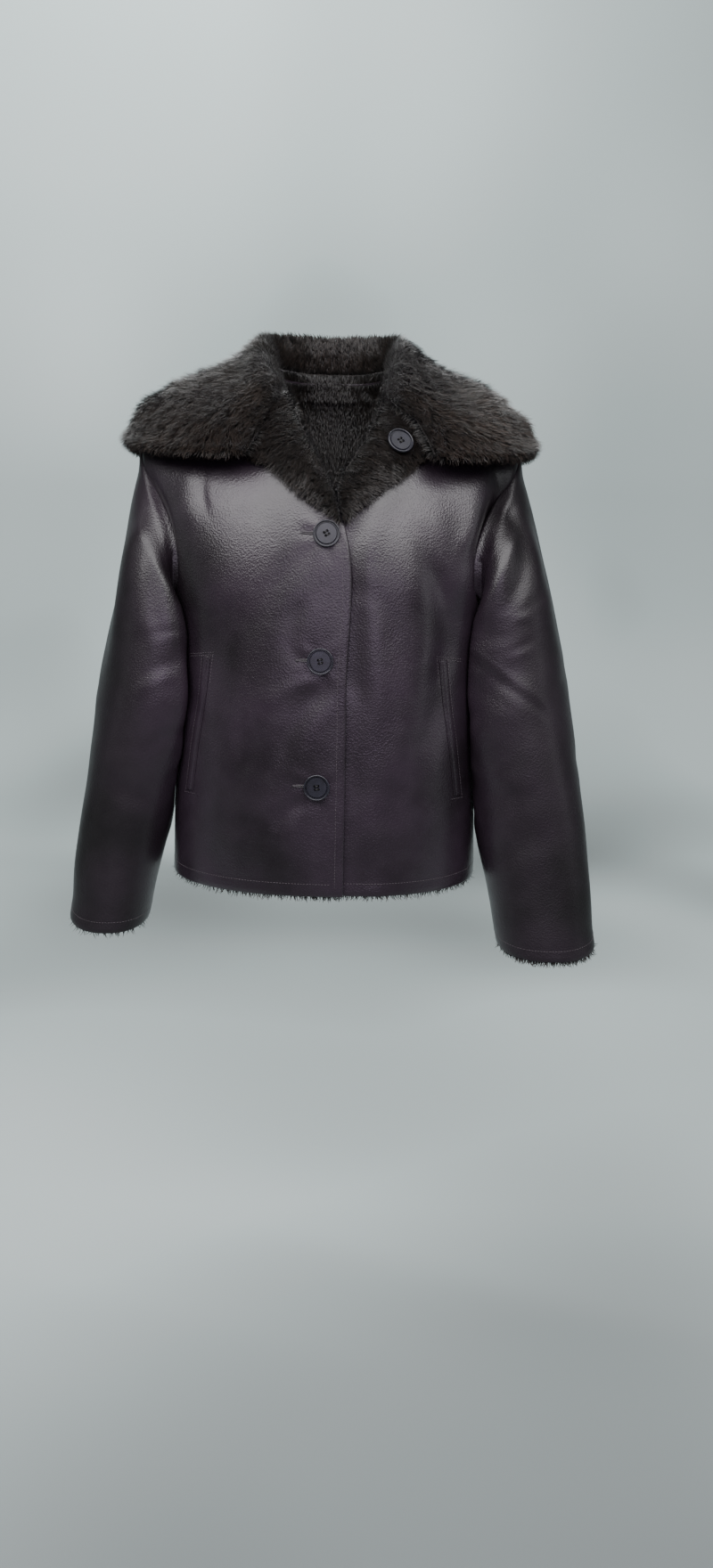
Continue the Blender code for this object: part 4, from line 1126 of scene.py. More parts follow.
def collar_face():
    """(face, normal, thickness) of the collar's outer form, lifted clear of the shoulders as the solid is."""
    body = [frame["nodes"][n] for n in ("front_right", "front_left", "back", "sleeve_right", "sleeve_left")]
    tree = tree_of(body)
    face = collar_grid(COLLAR_COLUMNS, COLLAR_ROWS)
    table = np.array(COLLAR_THICK)
    share = np.linspace(0, 1, COLLAR_ROWS + 1)[:, None]
    thick = np.repeat(curve(table[:, 0], table[:, 1], share[:, 0])[:, None], COLLAR_COLUMNS + 1, axis=1)
    clearance = COLLAR_CLEARANCE * smooth_step(share * 3) + LAYER_GAP * 2
    for lift in (1, 1, 1, 0):
        normal = normals_of(face)
        if normal[COLLAR_ROWS // 2 + 3, COLLAR_COLUMNS // 2, 1] < 0:
            normal = -normal
        room = least_near(room_under(tree, face, -normal)) - clearance
        short = spread(np.maximum(thick - room, 0)) * smooth_step((share - 0.35) / 0.2)
        face = face + normal * short[..., None] * lift
    return face, normal, np.minimum(thick, room)


def tree_of(objects):
    verts, faces = [], []
    for obj in objects:
        base = len(verts)
        verts += [v.co.copy() for v in obj.data.vertices]
        faces += [[base + i for i in p.vertices] for p in obj.data.polygons]
    return BVHTree.FromPolygons(verts, faces)


def lapel_face(table):
    """(face, normal, height over the chest) of a lapel's outer form on the +X side."""
    lines = along(table, LAPEL_ROWS * 3 + 1)
    t = np.linspace(0, 1, LAPEL_COLUMNS * 3 + 1)[None, :]
    x = lines[:, :1] * (1 - t) + lines[:, 2:3] * t
    z = lines[:, 1:2] * (1 - t) + lines[:, 3:4] * t
    high = smooth_step(np.linspace(-1.5, 1, len(lines)))[:, None]
    z = z + LAPEL_TOP_RISE * np.sin(t * math.pi) * high
    base, normal = chest(x, z)
    round_edge = np.sin(np.clip(t, 0.05, 0.95) * math.pi) ** 0.35
    round_end = smooth_step(np.linspace(0.25, 2.5, len(lines)))[:, None]
    lining = base + normal * LAYER_GAP * 2
    height = LAPEL_THICK * round_edge * round_end
    return lining + normal * height[..., None], normal, height


# ---------------------------------------------------------------- nodes


def linear(code):
    """An sRGB hex colour as linear red, green, blue and alpha."""
    parts = [int(code[k:k + 2], 16) / 255 for k in (1, 3, 5)]
    return tuple(c / 12.92 if c <= 0.04045 else ((c + 0.055) / 1.055) ** 2.4 for c in parts) + (1.0,)


def feed(tree, node, **inputs):
    """Sets a node's inputs, by name or as i and a number, to values or to links from nodes and sockets."""
    for name, value in inputs.items():
        if name[0] == "i" and name[1:].isdigit():
            target = node.inputs[int(name[1:])]
        else:
            label = name.replace("_", " ")
            target = next(s for s in node.inputs if s.enabled and s.name == label)
        if isinstance(value, bpy.types.Node):
            value = value.outputs[0]
        if isinstance(value, bpy.types.NodeSocket):
            tree.links.new(value, target)
        else:
            target.default_value = value


def add_node(tree, kind, settings=(), **inputs):
    """A node with its settings and its inputs."""
    made = tree.nodes.new(kind)
    for key, value in dict(settings).items():
        setattr(made, key, value)
    feed(tree, made, **inputs)
    return made


def math_node(tree, operation, *values):
    given = {f"i{k}": value for k, value in enumerate(values)}
    return add_node(tree, "ShaderNodeMath", {"operation": operation}, **given).outputs[0]


def vector_node(tree, operation, first, second):
    """Two vectors put together, or a vector and its scale."""
    name = "Scale" if operation == "SCALE" else "i1"
    settings = {"operation": operation}
    return add_node(tree, "ShaderNodeVectorMath", settings, i0=first, **{name: second}).outputs[0]


def combined(tree, x, y, z):
    return add_node(tree, "ShaderNodeCombineXYZ", X=x, Y=y, Z=z)


def object_place(tree):
    return add_node(tree, "ShaderNodeTexCoord").outputs["Object"]


def noise(tree, place, scale, detail, rough=0.5, **more):
    given = {"Vector": place, "Scale": scale, "Detail": detail, "Roughness": rough}
    return add_node(tree, "ShaderNodeTexNoise", **given, **more)


def ramp(tree, value, *stops):
    """Colours along a value, from (place, colour) stops."""
    made = add_node(tree, "ShaderNodeValToRGB", Fac=value)
    for element, stop in zip(made.color_ramp.elements, (stops[0], stops[-1])):
        element.position, element.color = stop
    for place, colour in stops[1:-1]:
        made.color_ramp.elements.new(place).color = colour
    return made


def ranged(tree, value, low, high, to_low, to_high):
    """A value's span from low to high, stretched to another span."""
    spans = {"From_Min": low, "From_Max": high, "To_Min": to_low, "To_Max": to_high}
    return add_node(tree, "ShaderNodeMapRange", Value=value, **spans)


def multiplied(tree, share, colour, by):
    """A colour multiplied by another, as far as the share."""
    settings = {"data_type": "RGBA", "blend_type": "MULTIPLY"}
    return add_node(tree, "ShaderNodeMix", settings, Factor=share, i6=colour, i7=by).outputs[2]


def relief(tree, height, strength, distance, **more):
    return add_node(tree, "ShaderNodeBump", Height=height, Strength=strength, Distance=distance, **more)


def new_material(name):
    made = bpy.data.materials.get(name)
    if made is not None:
        bpy.data.materials.remove(made)
    made = bpy.data.materials.new(name)
    made.use_nodes = True
    return made, made.node_tree, made.node_tree.nodes["Principled BSDF"]


def glazed_leather():
    """Polyurethane face on a knitted back, pressed with a fine pebble grain and glazed.

    It gives a dark aubergine ground and a soft broad gloss, duller on the sleeves, where the colour is also
    darkened as painted shade.
    """
    settings = bpy.context.scene.jacket
    made, tree, shader = new_material("glazed faux leather")
    place = object_place(tree)
    grain = {"Vector": place, "Scale": 1000 / settings.grain_mm, "Smoothness": 0.6}
    pebble = add_node(tree, "ShaderNodeTexVoronoi", {"feature": "SMOOTH_F1"}, **grain)
    fine = noise(tree, place, 620.0, 3.0, 0.6)
    slow = noise(tree, place, 9.0, 3.0, 0.55)
    soft = noise(tree, place, 38.0, 2.0)
    aside = math_node(tree, "ABSOLUTE", add_node(tree, "ShaderNodeSeparateXYZ", Vector=place))
    on_sleeve = ranged(tree, aside, *SLEEVE_SHADE_AND_FINISH_X, 0.0, 1.0)
    ground = ramp(tree, slow, (0.30, linear("#171216")), (0.72, (*settings.leather_colour, 1.0)))
    tint = ramp(tree, soft, (0.0, (0.55, 0.52, 0.58, 1)), (1.0, (1, 1, 1, 1)))
    worn = multiplied(tree, 0.18, ground, tint)
    rough = ranged(tree, soft, 0.3, 0.7, *LEATHER_ROUGHNESS)
    pressed = relief(tree, math_node(tree, "MULTIPLY_ADD", fine, 0.35, pebble), 0.70, 0.00035)
    feed(
        tree,
        shader,
        # painted shade: the colour darkened on the sleeves
        Base_Color=multiplied(tree, on_sleeve, worn, SLEEVE_PAINTED_SHADE),
        Roughness=math_node(tree, "MULTIPLY_ADD", on_sleeve, SLEEVE_DULLER, rough),
        Specular_IOR_Level=ranged(tree, on_sleeve, 0.0, 1.0, *LEATHER_SPECULAR),
        Coat_Weight=0.08,
        Coat_Roughness=0.22,
        Normal=relief(tree, soft, 0.25, 0.0010, Normal=pressed),
    )
    return made


def clipped_pile():
    """Short sheared pile on the inside: dull, dark, and mottled where it is brushed both ways."""
    made, tree, shader = new_material("clipped pile lining")
    place = object_place(tree)
    tufts = noise(tree, place, 420.0, 4.0, 0.7)
    both = math_node(tree, "MULTIPLY", tufts, noise(tree, place, 40.0, 3.0))
    colour = ramp(tree, both, (0.10, linear("#080605")), (0.45, linear("#241d19")))
    raised = relief(tree, tufts, 0.9, 0.0015)
    feed(tree, shader, Base_Color=colour, Roughness=0.9, Normal=raised)
    feed(tree, shader, Sheen_Weight=0.35, Sheen_Roughness=0.5)
    return made


def mink_like_fur(name, root, middle, tip):
    """Modacrylic fur, heat-crimped at the root and combed: dark underneath, browner towards the tips.

    "along" runs from 0 at the root to 1 at the tip, "shade" differs by hair, and "tone" carries painted light
    and shade.
    """
    made, tree, shader = new_material(name)
    labels = ("along", "shade", "tone")
    nodes = [add_node(tree, "ShaderNodeAttribute", {"attribute_name": label}) for label in labels]
    along_hair, shade, tone = (node.outputs["Fac"] for node in nodes)
    patches = noise(tree, object_place(tree), 28.0, 3.0, 0.6)
    dyed = ramp(tree, along_hair, (0.0, linear(root)), (0.55, linear(middle)), (1.0, linear(tip)))
    amount = math_node(tree, "MULTIPLY_ADD", shade, 0.75, patches)
    gain = ranged(tree, amount, 0.40, 1.30, 0.25, 1.90)
    colour = vector_node(tree, "SCALE", dyed, math_node(tree, "MULTIPLY", gain, tone))
    feed(tree, shader, Base_Color=colour, Roughness=0.48, Specular_IOR_Level=0.35)
    feed(tree, shader, Sheen_Weight=0.10, Sheen_Roughness=0.4)
    return made


def resin_button():
    """Cast polyester resin, tumbled bright: slate grey with a faint cloud in it."""
    made, tree, shader = new_material("polished resin")
    place = object_place(tree)
    lighter = (*bpy.context.scene.jacket.button_colour, 1.0)
    cloud = noise(tree, place, 120.0, 3.0, Distortion=0.6)
    colour = ramp(tree, cloud, (0.0, linear("#121215")), (1.0, lighter))
    scuffs = ranged(tree, noise(tree, place, 900.0, 2.0), 0.0, 1.0, 0.24, 0.36)
    feed(tree, shader, Base_Color=colour, Roughness=scuffs, Specular_IOR_Level=0.50)
    feed(tree, shader, Coat_Weight=0.15, Coat_Roughness=0.12)
    return made


def sewing_thread(name, code):
    """Spun polyester thread: twisted plies that catch light in short dashes."""
    made, tree, shader = new_material(name)
    twist = noise(tree, object_place(tree), 2200.0, 1.0)
    colour = ramp(tree, twist, (0.0, linear("#0c0a0b")), (1.0, linear(code)))
    plies = relief(tree, twist, 0.4, 0.0001)
    feed(tree, shader, Base_Color=colour, Roughness=0.5, Sheen_Weight=0.1, Normal=plies)
    return made


def shared(name, make, *values):
    """The material of that name, made the first time it is asked for."""
    found = bpy.data.materials.get(name)
    return found if found is not None else make(*values)


def leather():
    return shared("glazed faux leather", glazed_leather)


def pile():
    return shared("clipped pile lining", clipped_pile)


def fur():
    return shared("combed faux fur", mink_like_fur, "combed faux fur", "#050403", "#130f0c", "#2b221d")


def edge_fur():
    return shared("pile at the edges", mink_like_fur, "pile at the edges", "#060505", "#15110f", "#2c2521")


def new_tree(name, inputs):
    """A Geometry Nodes tree with a geometry input and output and these named inputs."""
    old = bpy.data.node_groups.get(name)
    if old is not None:
        bpy.data.node_groups.remove(old)
    tree = bpy.data.node_groups.new(name, "GeometryNodeTree")
    tree.interface.new_socket("Geometry", in_out="INPUT", socket_type="NodeSocketGeometry")
    for label, kind, value in inputs:
        made = tree.interface.new_socket(label, in_out="INPUT", socket_type="NodeSocket" + kind)
        if value is not None:
            made.default_value = value
    tree.interface.new_socket("Geometry", in_out="OUTPUT", socket_type="NodeSocketGeometry")
    return tree, tree.nodes.new("NodeGroupInput").outputs


def field(tree, label, kind="FLOAT"):
    """What a skin says at each place under that name."""
    made = add_node(tree, "GeometryNodeInputNamedAttribute", {"data_type": kind}, Name=label)
    return made.outputs["Attribute"]


def stored(tree, geometry, domain, label, value):
    """The geometry with a value written on it under that name."""
    settings = {"data_type": "FLOAT", "domain": domain}
    values = {"Geometry": geometry, "Name": label, "Value": value}
    return add_node(tree, "GeometryNodeStoreNamedAttribute", settings, **values)


def by_chance(tree, given, step, low, high):
    """A number between two bounds that differs from hair to hair."""
    seed = math_node(tree, "ADD", given["Seed"], float(step))
    made = add_node(tree, "FunctionNodeRandomValue", {"data_type": "FLOAT"}, Min=low, Max=high, Seed=seed)
    return made.outputs[RANDOM_FLOAT]


def turned_on(tree, rotation, x, y, z):
    """A rotation turned further by angles about its own axes."""
    by = add_node(tree, "FunctionNodeEulerToRotation", Euler=combined(tree, x, y, z))
    turn = {"Rotation": rotation, "Rotate_By": by}
    return add_node(tree, "FunctionNodeRotateRotation", {"rotation_space": "LOCAL"}, **turn)


def pulled(tree, clouds, strength):
    """A pull to any side, from a noise's colour."""
    middle = vector_node(tree, "SUBTRACT", clouds.outputs["Color"], (0.5, 0.5, 0.5))
    return vector_node(tree, "SCALE", middle, strength)


def made_real(tree, given, placed):
    """The end of a tree: what it placed, made real and given its material."""
    real = add_node(tree, "GeometryNodeRealizeInstances", Geometry=placed)
    coloured = add_node(tree, "GeometryNodeSetMaterial", Geometry=real, Material=given["Material"])
    add_node(tree, "NodeGroupOutput", Geometry=coloured)
    return tree


def one_hair(tree, given):
    """A narrow strip that rises and bends over along X, with "along" from its root to its tip."""
    strip = add_node(tree, "GeometryNodeMeshGrid", Size_X=1.0, Size_Y=1.0, Vertices_X=3, Vertices_Y=2)
    position = add_node(tree, "GeometryNodeInputPosition")
    at = add_node(tree, "ShaderNodeSeparateXYZ", Vector=position).outputs
    t = math_node(tree, "ADD", at["X"], 0.5)
    lean = math_node(tree, "MULTIPLY", math_node(tree, "MULTIPLY_ADD", t, 0.376, 0.386), t)
    rise = math_node(tree, "MULTIPLY", math_node(tree, "MULTIPLY_ADD", t, -0.51, 1.075), t)
    narrow = math_node(tree, "MULTIPLY_ADD", math_node(tree, "POWER", t, 1.4), -0.86, 1.0)
    across = math_node(tree, "MULTIPLY", math_node(tree, "MULTIPLY", at["Y"], narrow), given["Width"])
    forward = math_node(tree, "MULTIPLY", lean, given["Length"])
    upward = math_node(tree, "MULTIPLY", rise, given["Length"])
    shape = combined(tree, forward, across, upward)
    strip = stored(tree, strip, "POINT", "along", t)
    return add_node(tree, "GeometryNodeSetPosition", Geometry=strip, Position=shape)


def fur_tree():
    """Hairs scattered over a skin: each rises from it, leans along "lay", and is drawn into locks."""
    inputs = (
        ("Density", "Float", 1.0),
        ("Length", "Float", 0.014),
        ("Width", "Float", 0.0006),
        ("Lock size", "Float", 0.008),
        ("Stray", "Float", 0.35),
        ("Seed", "Int", 1),
        ("Material", "Material", None),
    )
    tree, given = new_tree(FUR_TREE, inputs)
    density = math_node(tree, "MULTIPLY", given["Density"], field(tree, "thick"))
    scatter = {"Mesh": given["Geometry"], "Density": density, "Seed": given["Seed"]}
    points = add_node(tree, "GeometryNodeDistributePointsOnFaces", {"distribute_method": "RANDOM"}, **scatter)
    # A hair's direction: up from the skin, along the lay, drawn aside by locks and by chance
    here = add_node(tree, "GeometryNodeInputPosition")
    locks = noise(tree, here, math_node(tree, "DIVIDE", 1.0, given["Lock size"]), 2.0, 0.6)
    wide = noise(tree, here, 26.0, 1.0)
    aside = vector_node(tree, "ADD", pulled(tree, locks, 1.7), pulled(tree, wide, 1.3))
    way = vector_node(tree, "ADD", field(tree, "lay", "FLOAT_VECTOR"), aside)
    up = add_node(tree, "FunctionNodeAlignRotationToVector", {"axis": "Z"}, Vector=points.outputs["Normal"])
    pivot = {"axis": "X", "pivot_axis": "Z"}
    laid = add_node(tree, "FunctionNodeAlignRotationToVector", pivot, Rotation=up, Vector=way)
    less = math_node(tree, "MULTIPLY", given["Stray"], -1.0)
    yaw = by_chance(tree, given, 11, less, given["Stray"])
    tilt = by_chance(tree, given, 23, less, given["Stray"])
    raised = math_node(tree, "SUBTRACT", locks, 0.5)
    lift = math_node(tree, "MULTIPLY_ADD", raised, 1.6, math_node(tree, "MULTIPLY", tilt, 0.9))
    long = math_node(tree, "MULTIPLY", by_chance(tree, given, 37, 0.62, 1.06), field(tree, "reach"))
    placed = add_node(
        tree,
        "GeometryNodeInstanceOnPoints",
        Points=points,
        Instance=one_hair(tree, given),
        Rotation=turned_on(tree, laid, 0.0, lift, yaw),
        Scale=combined(tree, long, 1.0, long),
    )
    shade = math_node(tree, "MULTIPLY_ADD", raised, 1.2, by_chance(tree, given, 53, 0.0, 1.0))
    return made_real(tree, given, stored(tree, placed, "INSTANCE", "shade", shade))


def stitch_tree():
    """Stitches along a line of points: one short rounded strand for each step, with a gap between two."""
    inputs = (
        ("Pitch", "Float", 0.0035),
        ("Stitch", "Float", 0.0026),
        ("Thread", "Float", 0.0004),
        ("Slant", "Float", 0.05),
        ("Material", "Material", None),
    )
    tree, given = new_tree(STITCH_TREE, inputs)
    line = add_node(tree, "GeometryNodeMeshToCurve", Mesh=given["Geometry"])
    steps = add_node(tree, "GeometryNodeResampleCurve", {"mode": "LENGTH"}, Curve=line, Length=given["Pitch"])
    strand = add_node(tree, "GeometryNodeMeshUVSphere", Segments=6, Rings=5, Radius=0.5)
    size = combined(tree, given["Thread"], given["Thread"], given["Stitch"])
    sized = add_node(tree, "GeometryNodeTransform", Geometry=strand, Scale=size)
    way = add_node(tree, "GeometryNodeInputTangent")
    aimed = add_node(tree, "FunctionNodeAlignRotationToVector", {"axis": "Z"}, Vector=way)
    slanted = turned_on(tree, aimed, given["Slant"], 0.0, 0.0)
    placed = add_node(tree, "GeometryNodeInstanceOnPoints", Points=steps, Instance=sized, Rotation=slanted)
    return made_real(tree, given, placed)


def grown(name, source, tree, values):
    """The plain mesh that a tree makes from a source mesh, which is then removed."""
    modifier = source.modifiers.new("grow", "NODES")
    modifier.node_group = tree
    for item in tree.interface.items_tree:
        if item.in_out == "INPUT" and item.name in values:
            modifier[item.identifier] = values[item.name]
    bpy.context.view_layer.update()
    evaluated = source.evaluated_get(bpy.context.evaluated_depsgraph_get())
    mesh = bpy.data.meshes.new_from_object(evaluated)
    source.modifiers.clear()
    bpy.data.objects.remove(source, do_unlink=True)
    if not mesh.polygons:
        raise RuntimeError(f"{name} came out with no faces")
    mesh.name = name
    made = linked(name, mesh)
    mesh.shade_smooth()
    return made


def skin(name, points, faces, lay, reach, thick, tone):
    """A surface for hairs to grow on: the way they lie, their share of length and density, and their tone of
    painted light and shade.
    """
    mesh = bpy.data.meshes.new(name)
    mesh.from_pydata(np.asarray(points).tolist(), [], [tuple(int(i) for i in f) for f in faces])
    for label, values in (("lay", lay), ("reach", reach), ("thick", thick), ("tone", tone)):
        kind, key = ("FLOAT_VECTOR", "vector") if label == "lay" else ("FLOAT", "value")
        flat = np.asarray(values, np.float32).ravel()
        mesh.attributes.new(label, kind, "POINT").data.foreach_set(key, flat)
    return linked(name, mesh)


def grid_faces(rows, columns, outward, points):
    """The cells of a grid as faces turned towards a field of outward directions."""
    faces = cells_of(rows, columns)
    flat, way = points.reshape(-1, 3), outward.reshape(-1, 3)
    middle = faces[len(faces) // 2 + columns // 2]
    turn = np.cross(flat[middle[1]] - flat[middle[0]], flat[middle[3]] - flat[middle[0]]) @ way[middle[0]]
    return faces if turn > 0 else [f[::-1] for f in faces]


def grid_fur(name, grid, outward, lay, reach, thick, seed, made_of, tone=1.0, side=1, stray=0.35):
    """Hairs grown on a grid of points of one side."""
    settings = bpy.context.scene.jacket
    grid, outward, lay = (mirrored(given, side) for given in (grid, outward, lay))
    size = grid.shape[:2]
    faces = grid_faces(*size, outward, grid)
    shares = [np.broadcast_to(given, size) for given in (reach, thick, tone)]
    values = {
        "Density": settings.fur_density * 1e6,
        "Length": settings.fur_length,
        "Width": settings.fur_width,
        "Lock size": settings.lock_size,
        "Stray": stray,
        "Seed": seed,
        "Material": made_of,
    }
    tree = bpy.data.node_groups.get(FUR_TREE) or fur_tree()
    return grown(name, skin(name + "_skin", grid.reshape(-1, 3), faces, lay, *shares), tree, values)


def stitched(name, lines, made_of):
    """Stitches along several lines of points, as one mesh."""
    settings = bpy.context.scene.jacket
    points, edges = [], []
    for line in lines:
        base = len(points)
        points += np.asarray(line).tolist()
        edges += [(base + k, base + k + 1) for k in range(len(line) - 1)]
    mesh = bpy.data.meshes.new(name + "_line")
    mesh.from_pydata(points, edges, [])
    tree = bpy.data.node_groups.get(STITCH_TREE) or stitch_tree()
    pitch = settings.stitch_pitch
    values = {
        "Pitch": pitch,
        "Stitch": pitch * STITCH_SHARE,
        "Thread": settings.thread,
        "Material": made_of,
    }
    return grown(name, linked(name + "_line", mesh), tree, values)


# ---------------------------------------------------------------- sizes and colours a user would change


class JacketSettings(bpy.types.PropertyGroup):
    leather_colour: FloatVectorProperty(
        name="Leather",
        description="Lighter tone of the leather",
        subtype="COLOR",
        size=3,
        min=0,
        max=1,
        default=linear("#302630")[:3],
    )
    button_colour: FloatVectorProperty(
        name="Buttons",
        description="Lighter tone of the buttons",
        subtype="COLOR",
        size=3,
        min=0,
        max=1,
        default=linear("#30303a")[:3],
    )
    grain_mm: FloatProperty(
        name="Grain",
        description="Width of one pebble of the leather's grain, in millimetres",
        default=1.9,
        min=0.3,
        max=5,
    )
    fur_length: FloatProperty(
        name="Fur length",
        description="Length of the longest hairs of the collar",
        default=0.0165,
        min=0.004,
        max=0.05,
        unit="LENGTH",
    )
    fur_width: FloatProperty(
        name="Hair width",
        description="Width of one lock of hairs at its root",
        default=0.00112,
        min=0.0001,
        max=0.005,
        unit="LENGTH",
    )
    fur_density: FloatProperty(
        name="Fur density",
        description="Locks on each square millimetre",
        default=0.64,
        min=0.05,
        max=4,
    )
    lock_size: FloatProperty(
        name="Lock size",
        description="Size of the tufts that hairs draw together into",
        default=0.009,
        min=0.002,
        max=0.05,
        unit="LENGTH",
    )
    stitch_pitch: FloatProperty(
        name="Stitch",
        description="Distance from one stitch to the next",
        default=0.0034,
        min=0.001,
        max=0.02,
        unit="LENGTH",
    )
    thread: FloatProperty(
        name="Thread",
        description="Thickness of the topstitching thread",
        default=0.00055,
        min=0.0001,
        max=0.003,
        unit="LENGTH",
    )
    seed: IntProperty(name="Seed", description="Another scatter of hairs", default=7, min=0)


# ---------------------------------------------------------------- operators


class JacketPiece:
    bl_options = {"REGISTER", "UNDO"}


class JACKET_OT_stage(JacketPiece, bpy.types.Operator):
    """Pale studio sweep, soft lights and the camera"""

    bl_idname = "jacket.stage"
    bl_label = "Stage"

    def execute(self, context):
        for obj in list(bpy.data.objects):
            if obj.type in ("CAMERA", "LIGHT") or obj.name == "studio_sweep":
                bpy.data.objects.remove(obj, do_unlink=True)
        sweep = studio_sweep()
        for name, place, target, size_x, size_y, power, tint in LIGHTS:
            lamp = bpy.data.lights.new(name, "AREA")
            lamp.shape = "RECTANGLE"
            lamp.size, lamp.size_y, lamp.energy, lamp.color = size_x, size_y, power, tint
            holder = bpy.data.objects.new(name, lamp)
            holder.location = place
            way = Vector(target) - Vector(place)
            holder.rotation_euler = way.to_track_quat("-Z", "Y").to_euler()
            context.scene.collection.objects.link(holder)
        world = bpy.data.worlds.new("soft studio") if context.scene.world is None else context.scene.world
        world.use_nodes = True
        tree = world.node_tree
        sky = tree.nodes["Background"]
        sky.inputs["Color"].default_value = linear("#c9d2d2")
        seen = add_node(tree, "ShaderNodeLightPath").outputs["Is Camera Ray"]
        strength = ranged(tree, seen, 0.0, 1.0, WORLD_STRENGTH, BACKDROP_STRENGTH)
        tree.links.new(strength.outputs["Result"], sky.inputs["Strength"])
        context.scene.world = world
        eye = bpy.data.cameras.new("camera")
        eye.sensor_fit = "VERTICAL"
        eye.sensor_height = SENSOR_HEIGHT
        eye.lens = CAMERA_FOCAL / FRAME_HEIGHT * SENSOR_HEIGHT
        holder = bpy.data.objects.new("camera", eye)
        turn = Matrix.Rotation(math.radians(90 - CAMERA_PITCH), 4, "X")
        turn = turn @ Matrix.Rotation(math.radians(CAMERA_ROLL), 4, "Z")
        holder.matrix_world = Matrix.Translation(CAMERA_PLACE) @ turn
        context.scene.collection.objects.link(holder)
        context.scene.camera = holder
        return {"FINISHED"}


def studio_sweep():
    """A floor that curves up into a wall far behind."""
    profile = [(y, FLOOR_Z) for y in (-4.0, -2.0, -1.4, -1.0, -0.7, 0.0, 1.0)]
    for k in range(13):
        a = math.pi / 2 * k / 12
        y = SWEEP_Y - SWEEP_ROUND + SWEEP_ROUND * math.sin(a)
        profile.append((y, FLOOR_Z + SWEEP_ROUND - SWEEP_ROUND * math.cos(a)))
    profile.append((SWEEP_Y, 3.5))
    verts = [(x, y, z) for x in (-5.0, 5.0) for y, z in profile]
    count = len(profile)
    faces = [(k, count + k, count + k + 1, k + 1) for k in range(count - 1)]
    mesh = bpy.data.meshes.new("studio_sweep")
    mesh.from_pydata(verts, [], faces)
    mesh.shade_smooth()
    made, tree, shader = new_material("matt studio paper")
    place = add_node(tree, "ShaderNodeTexCoord").outputs["Object"]
    drift = add_node(tree, "ShaderNodeTexNoise", Vector=place, Scale=0.8, Detail=1.0)
    apart = add_node(tree, "ShaderNodeSeparateXYZ", Vector=place)
    depth, height = apart.outputs["Y"], apart.outputs["Z"]
    # painted shade on the paper: darker nearer the camera and towards the floor
    nearer = ranged(tree, depth, -1.6, -0.7, -0.45, 0.0)
    lower = ranged(tree, height, FLOOR_Z, FLOOR_Z + 1.3, -0.24, 0.0)
    painted_paper_shade = add_node(tree, "ShaderNodeMath", {"operation": "ADD"}, i0=nearer, i1=lower)
    both = add_node(tree, "ShaderNodeMath", {"operation": "ADD"}, i0=drift.outputs[0], i1=painted_paper_shade.outputs[0])
    ramp = add_node(tree, "ShaderNodeValToRGB", Fac=both.outputs[0])
    ramp.color_ramp.elements[0].color = linear("#565b5b")
    ramp.color_ramp.elements[1].color = linear("#cbd3d3")
    ramp.color_ramp.elements.new(0.35).color = linear("#a9b3b3")
    tree.links.new(ramp.outputs["Color"], shader.inputs["Base Color"])
    shader.inputs["Roughness"].default_value = 0.85
    mesh.materials.append(made)
    obj = bpy.data.objects.new("studio_sweep", mesh)
    bpy.context.scene.collection.objects.link(obj)
    return obj


class JACKET_OT_fronts(JacketPiece, bpy.types.Operator):
    """The two fronts: leather outside, pile inside, the right one over the left"""

    bl_idname = "jacket.fronts"
    bl_label = "Fronts"

    def execute(self, context):
        for name, side in (("front_right", -1), ("front_left", 1)):
            face, normal = front_face(side)
            pair = [mirrored(given, side) for given in (face, normal)]
            obj = walled(name + "_leather", *pair, WALL, (leather(), pile()))
            ridden(obj, (name,))
        return {"FINISHED"}


class JACKET_OT_back(JacketPiece, bpy.types.Operator):
    """The back, from side seam to side seam"""

    bl_idname = "jacket.back"
    bl_label = "Back"

    def execute(self, context):
        face, normal = back_face()
        obj = walled("back_leather", face, normal, WALL, (leather(), pile()))
        ridden(obj, ("back",))
        return {"FINISHED"}


class JACKET_OT_sleeves(JacketPiece, bpy.types.Operator):
    """The two sleeves with their creases"""

    bl_idname = "jacket.sleeves"
    bl_label = "Sleeves"

    def execute(self, context):
        for name, side in (("sleeve_right", -1), ("sleeve_left", 1)):
            face, normal = sleeve_face(side)
            pair = [mirrored(given, side) for given in (face, normal)]
            obj = walled(name + "_leather", *pair, WALL, (leather(), pile()), wrap=True)
            ridden(obj, (name,))
        return {"FINISHED"}


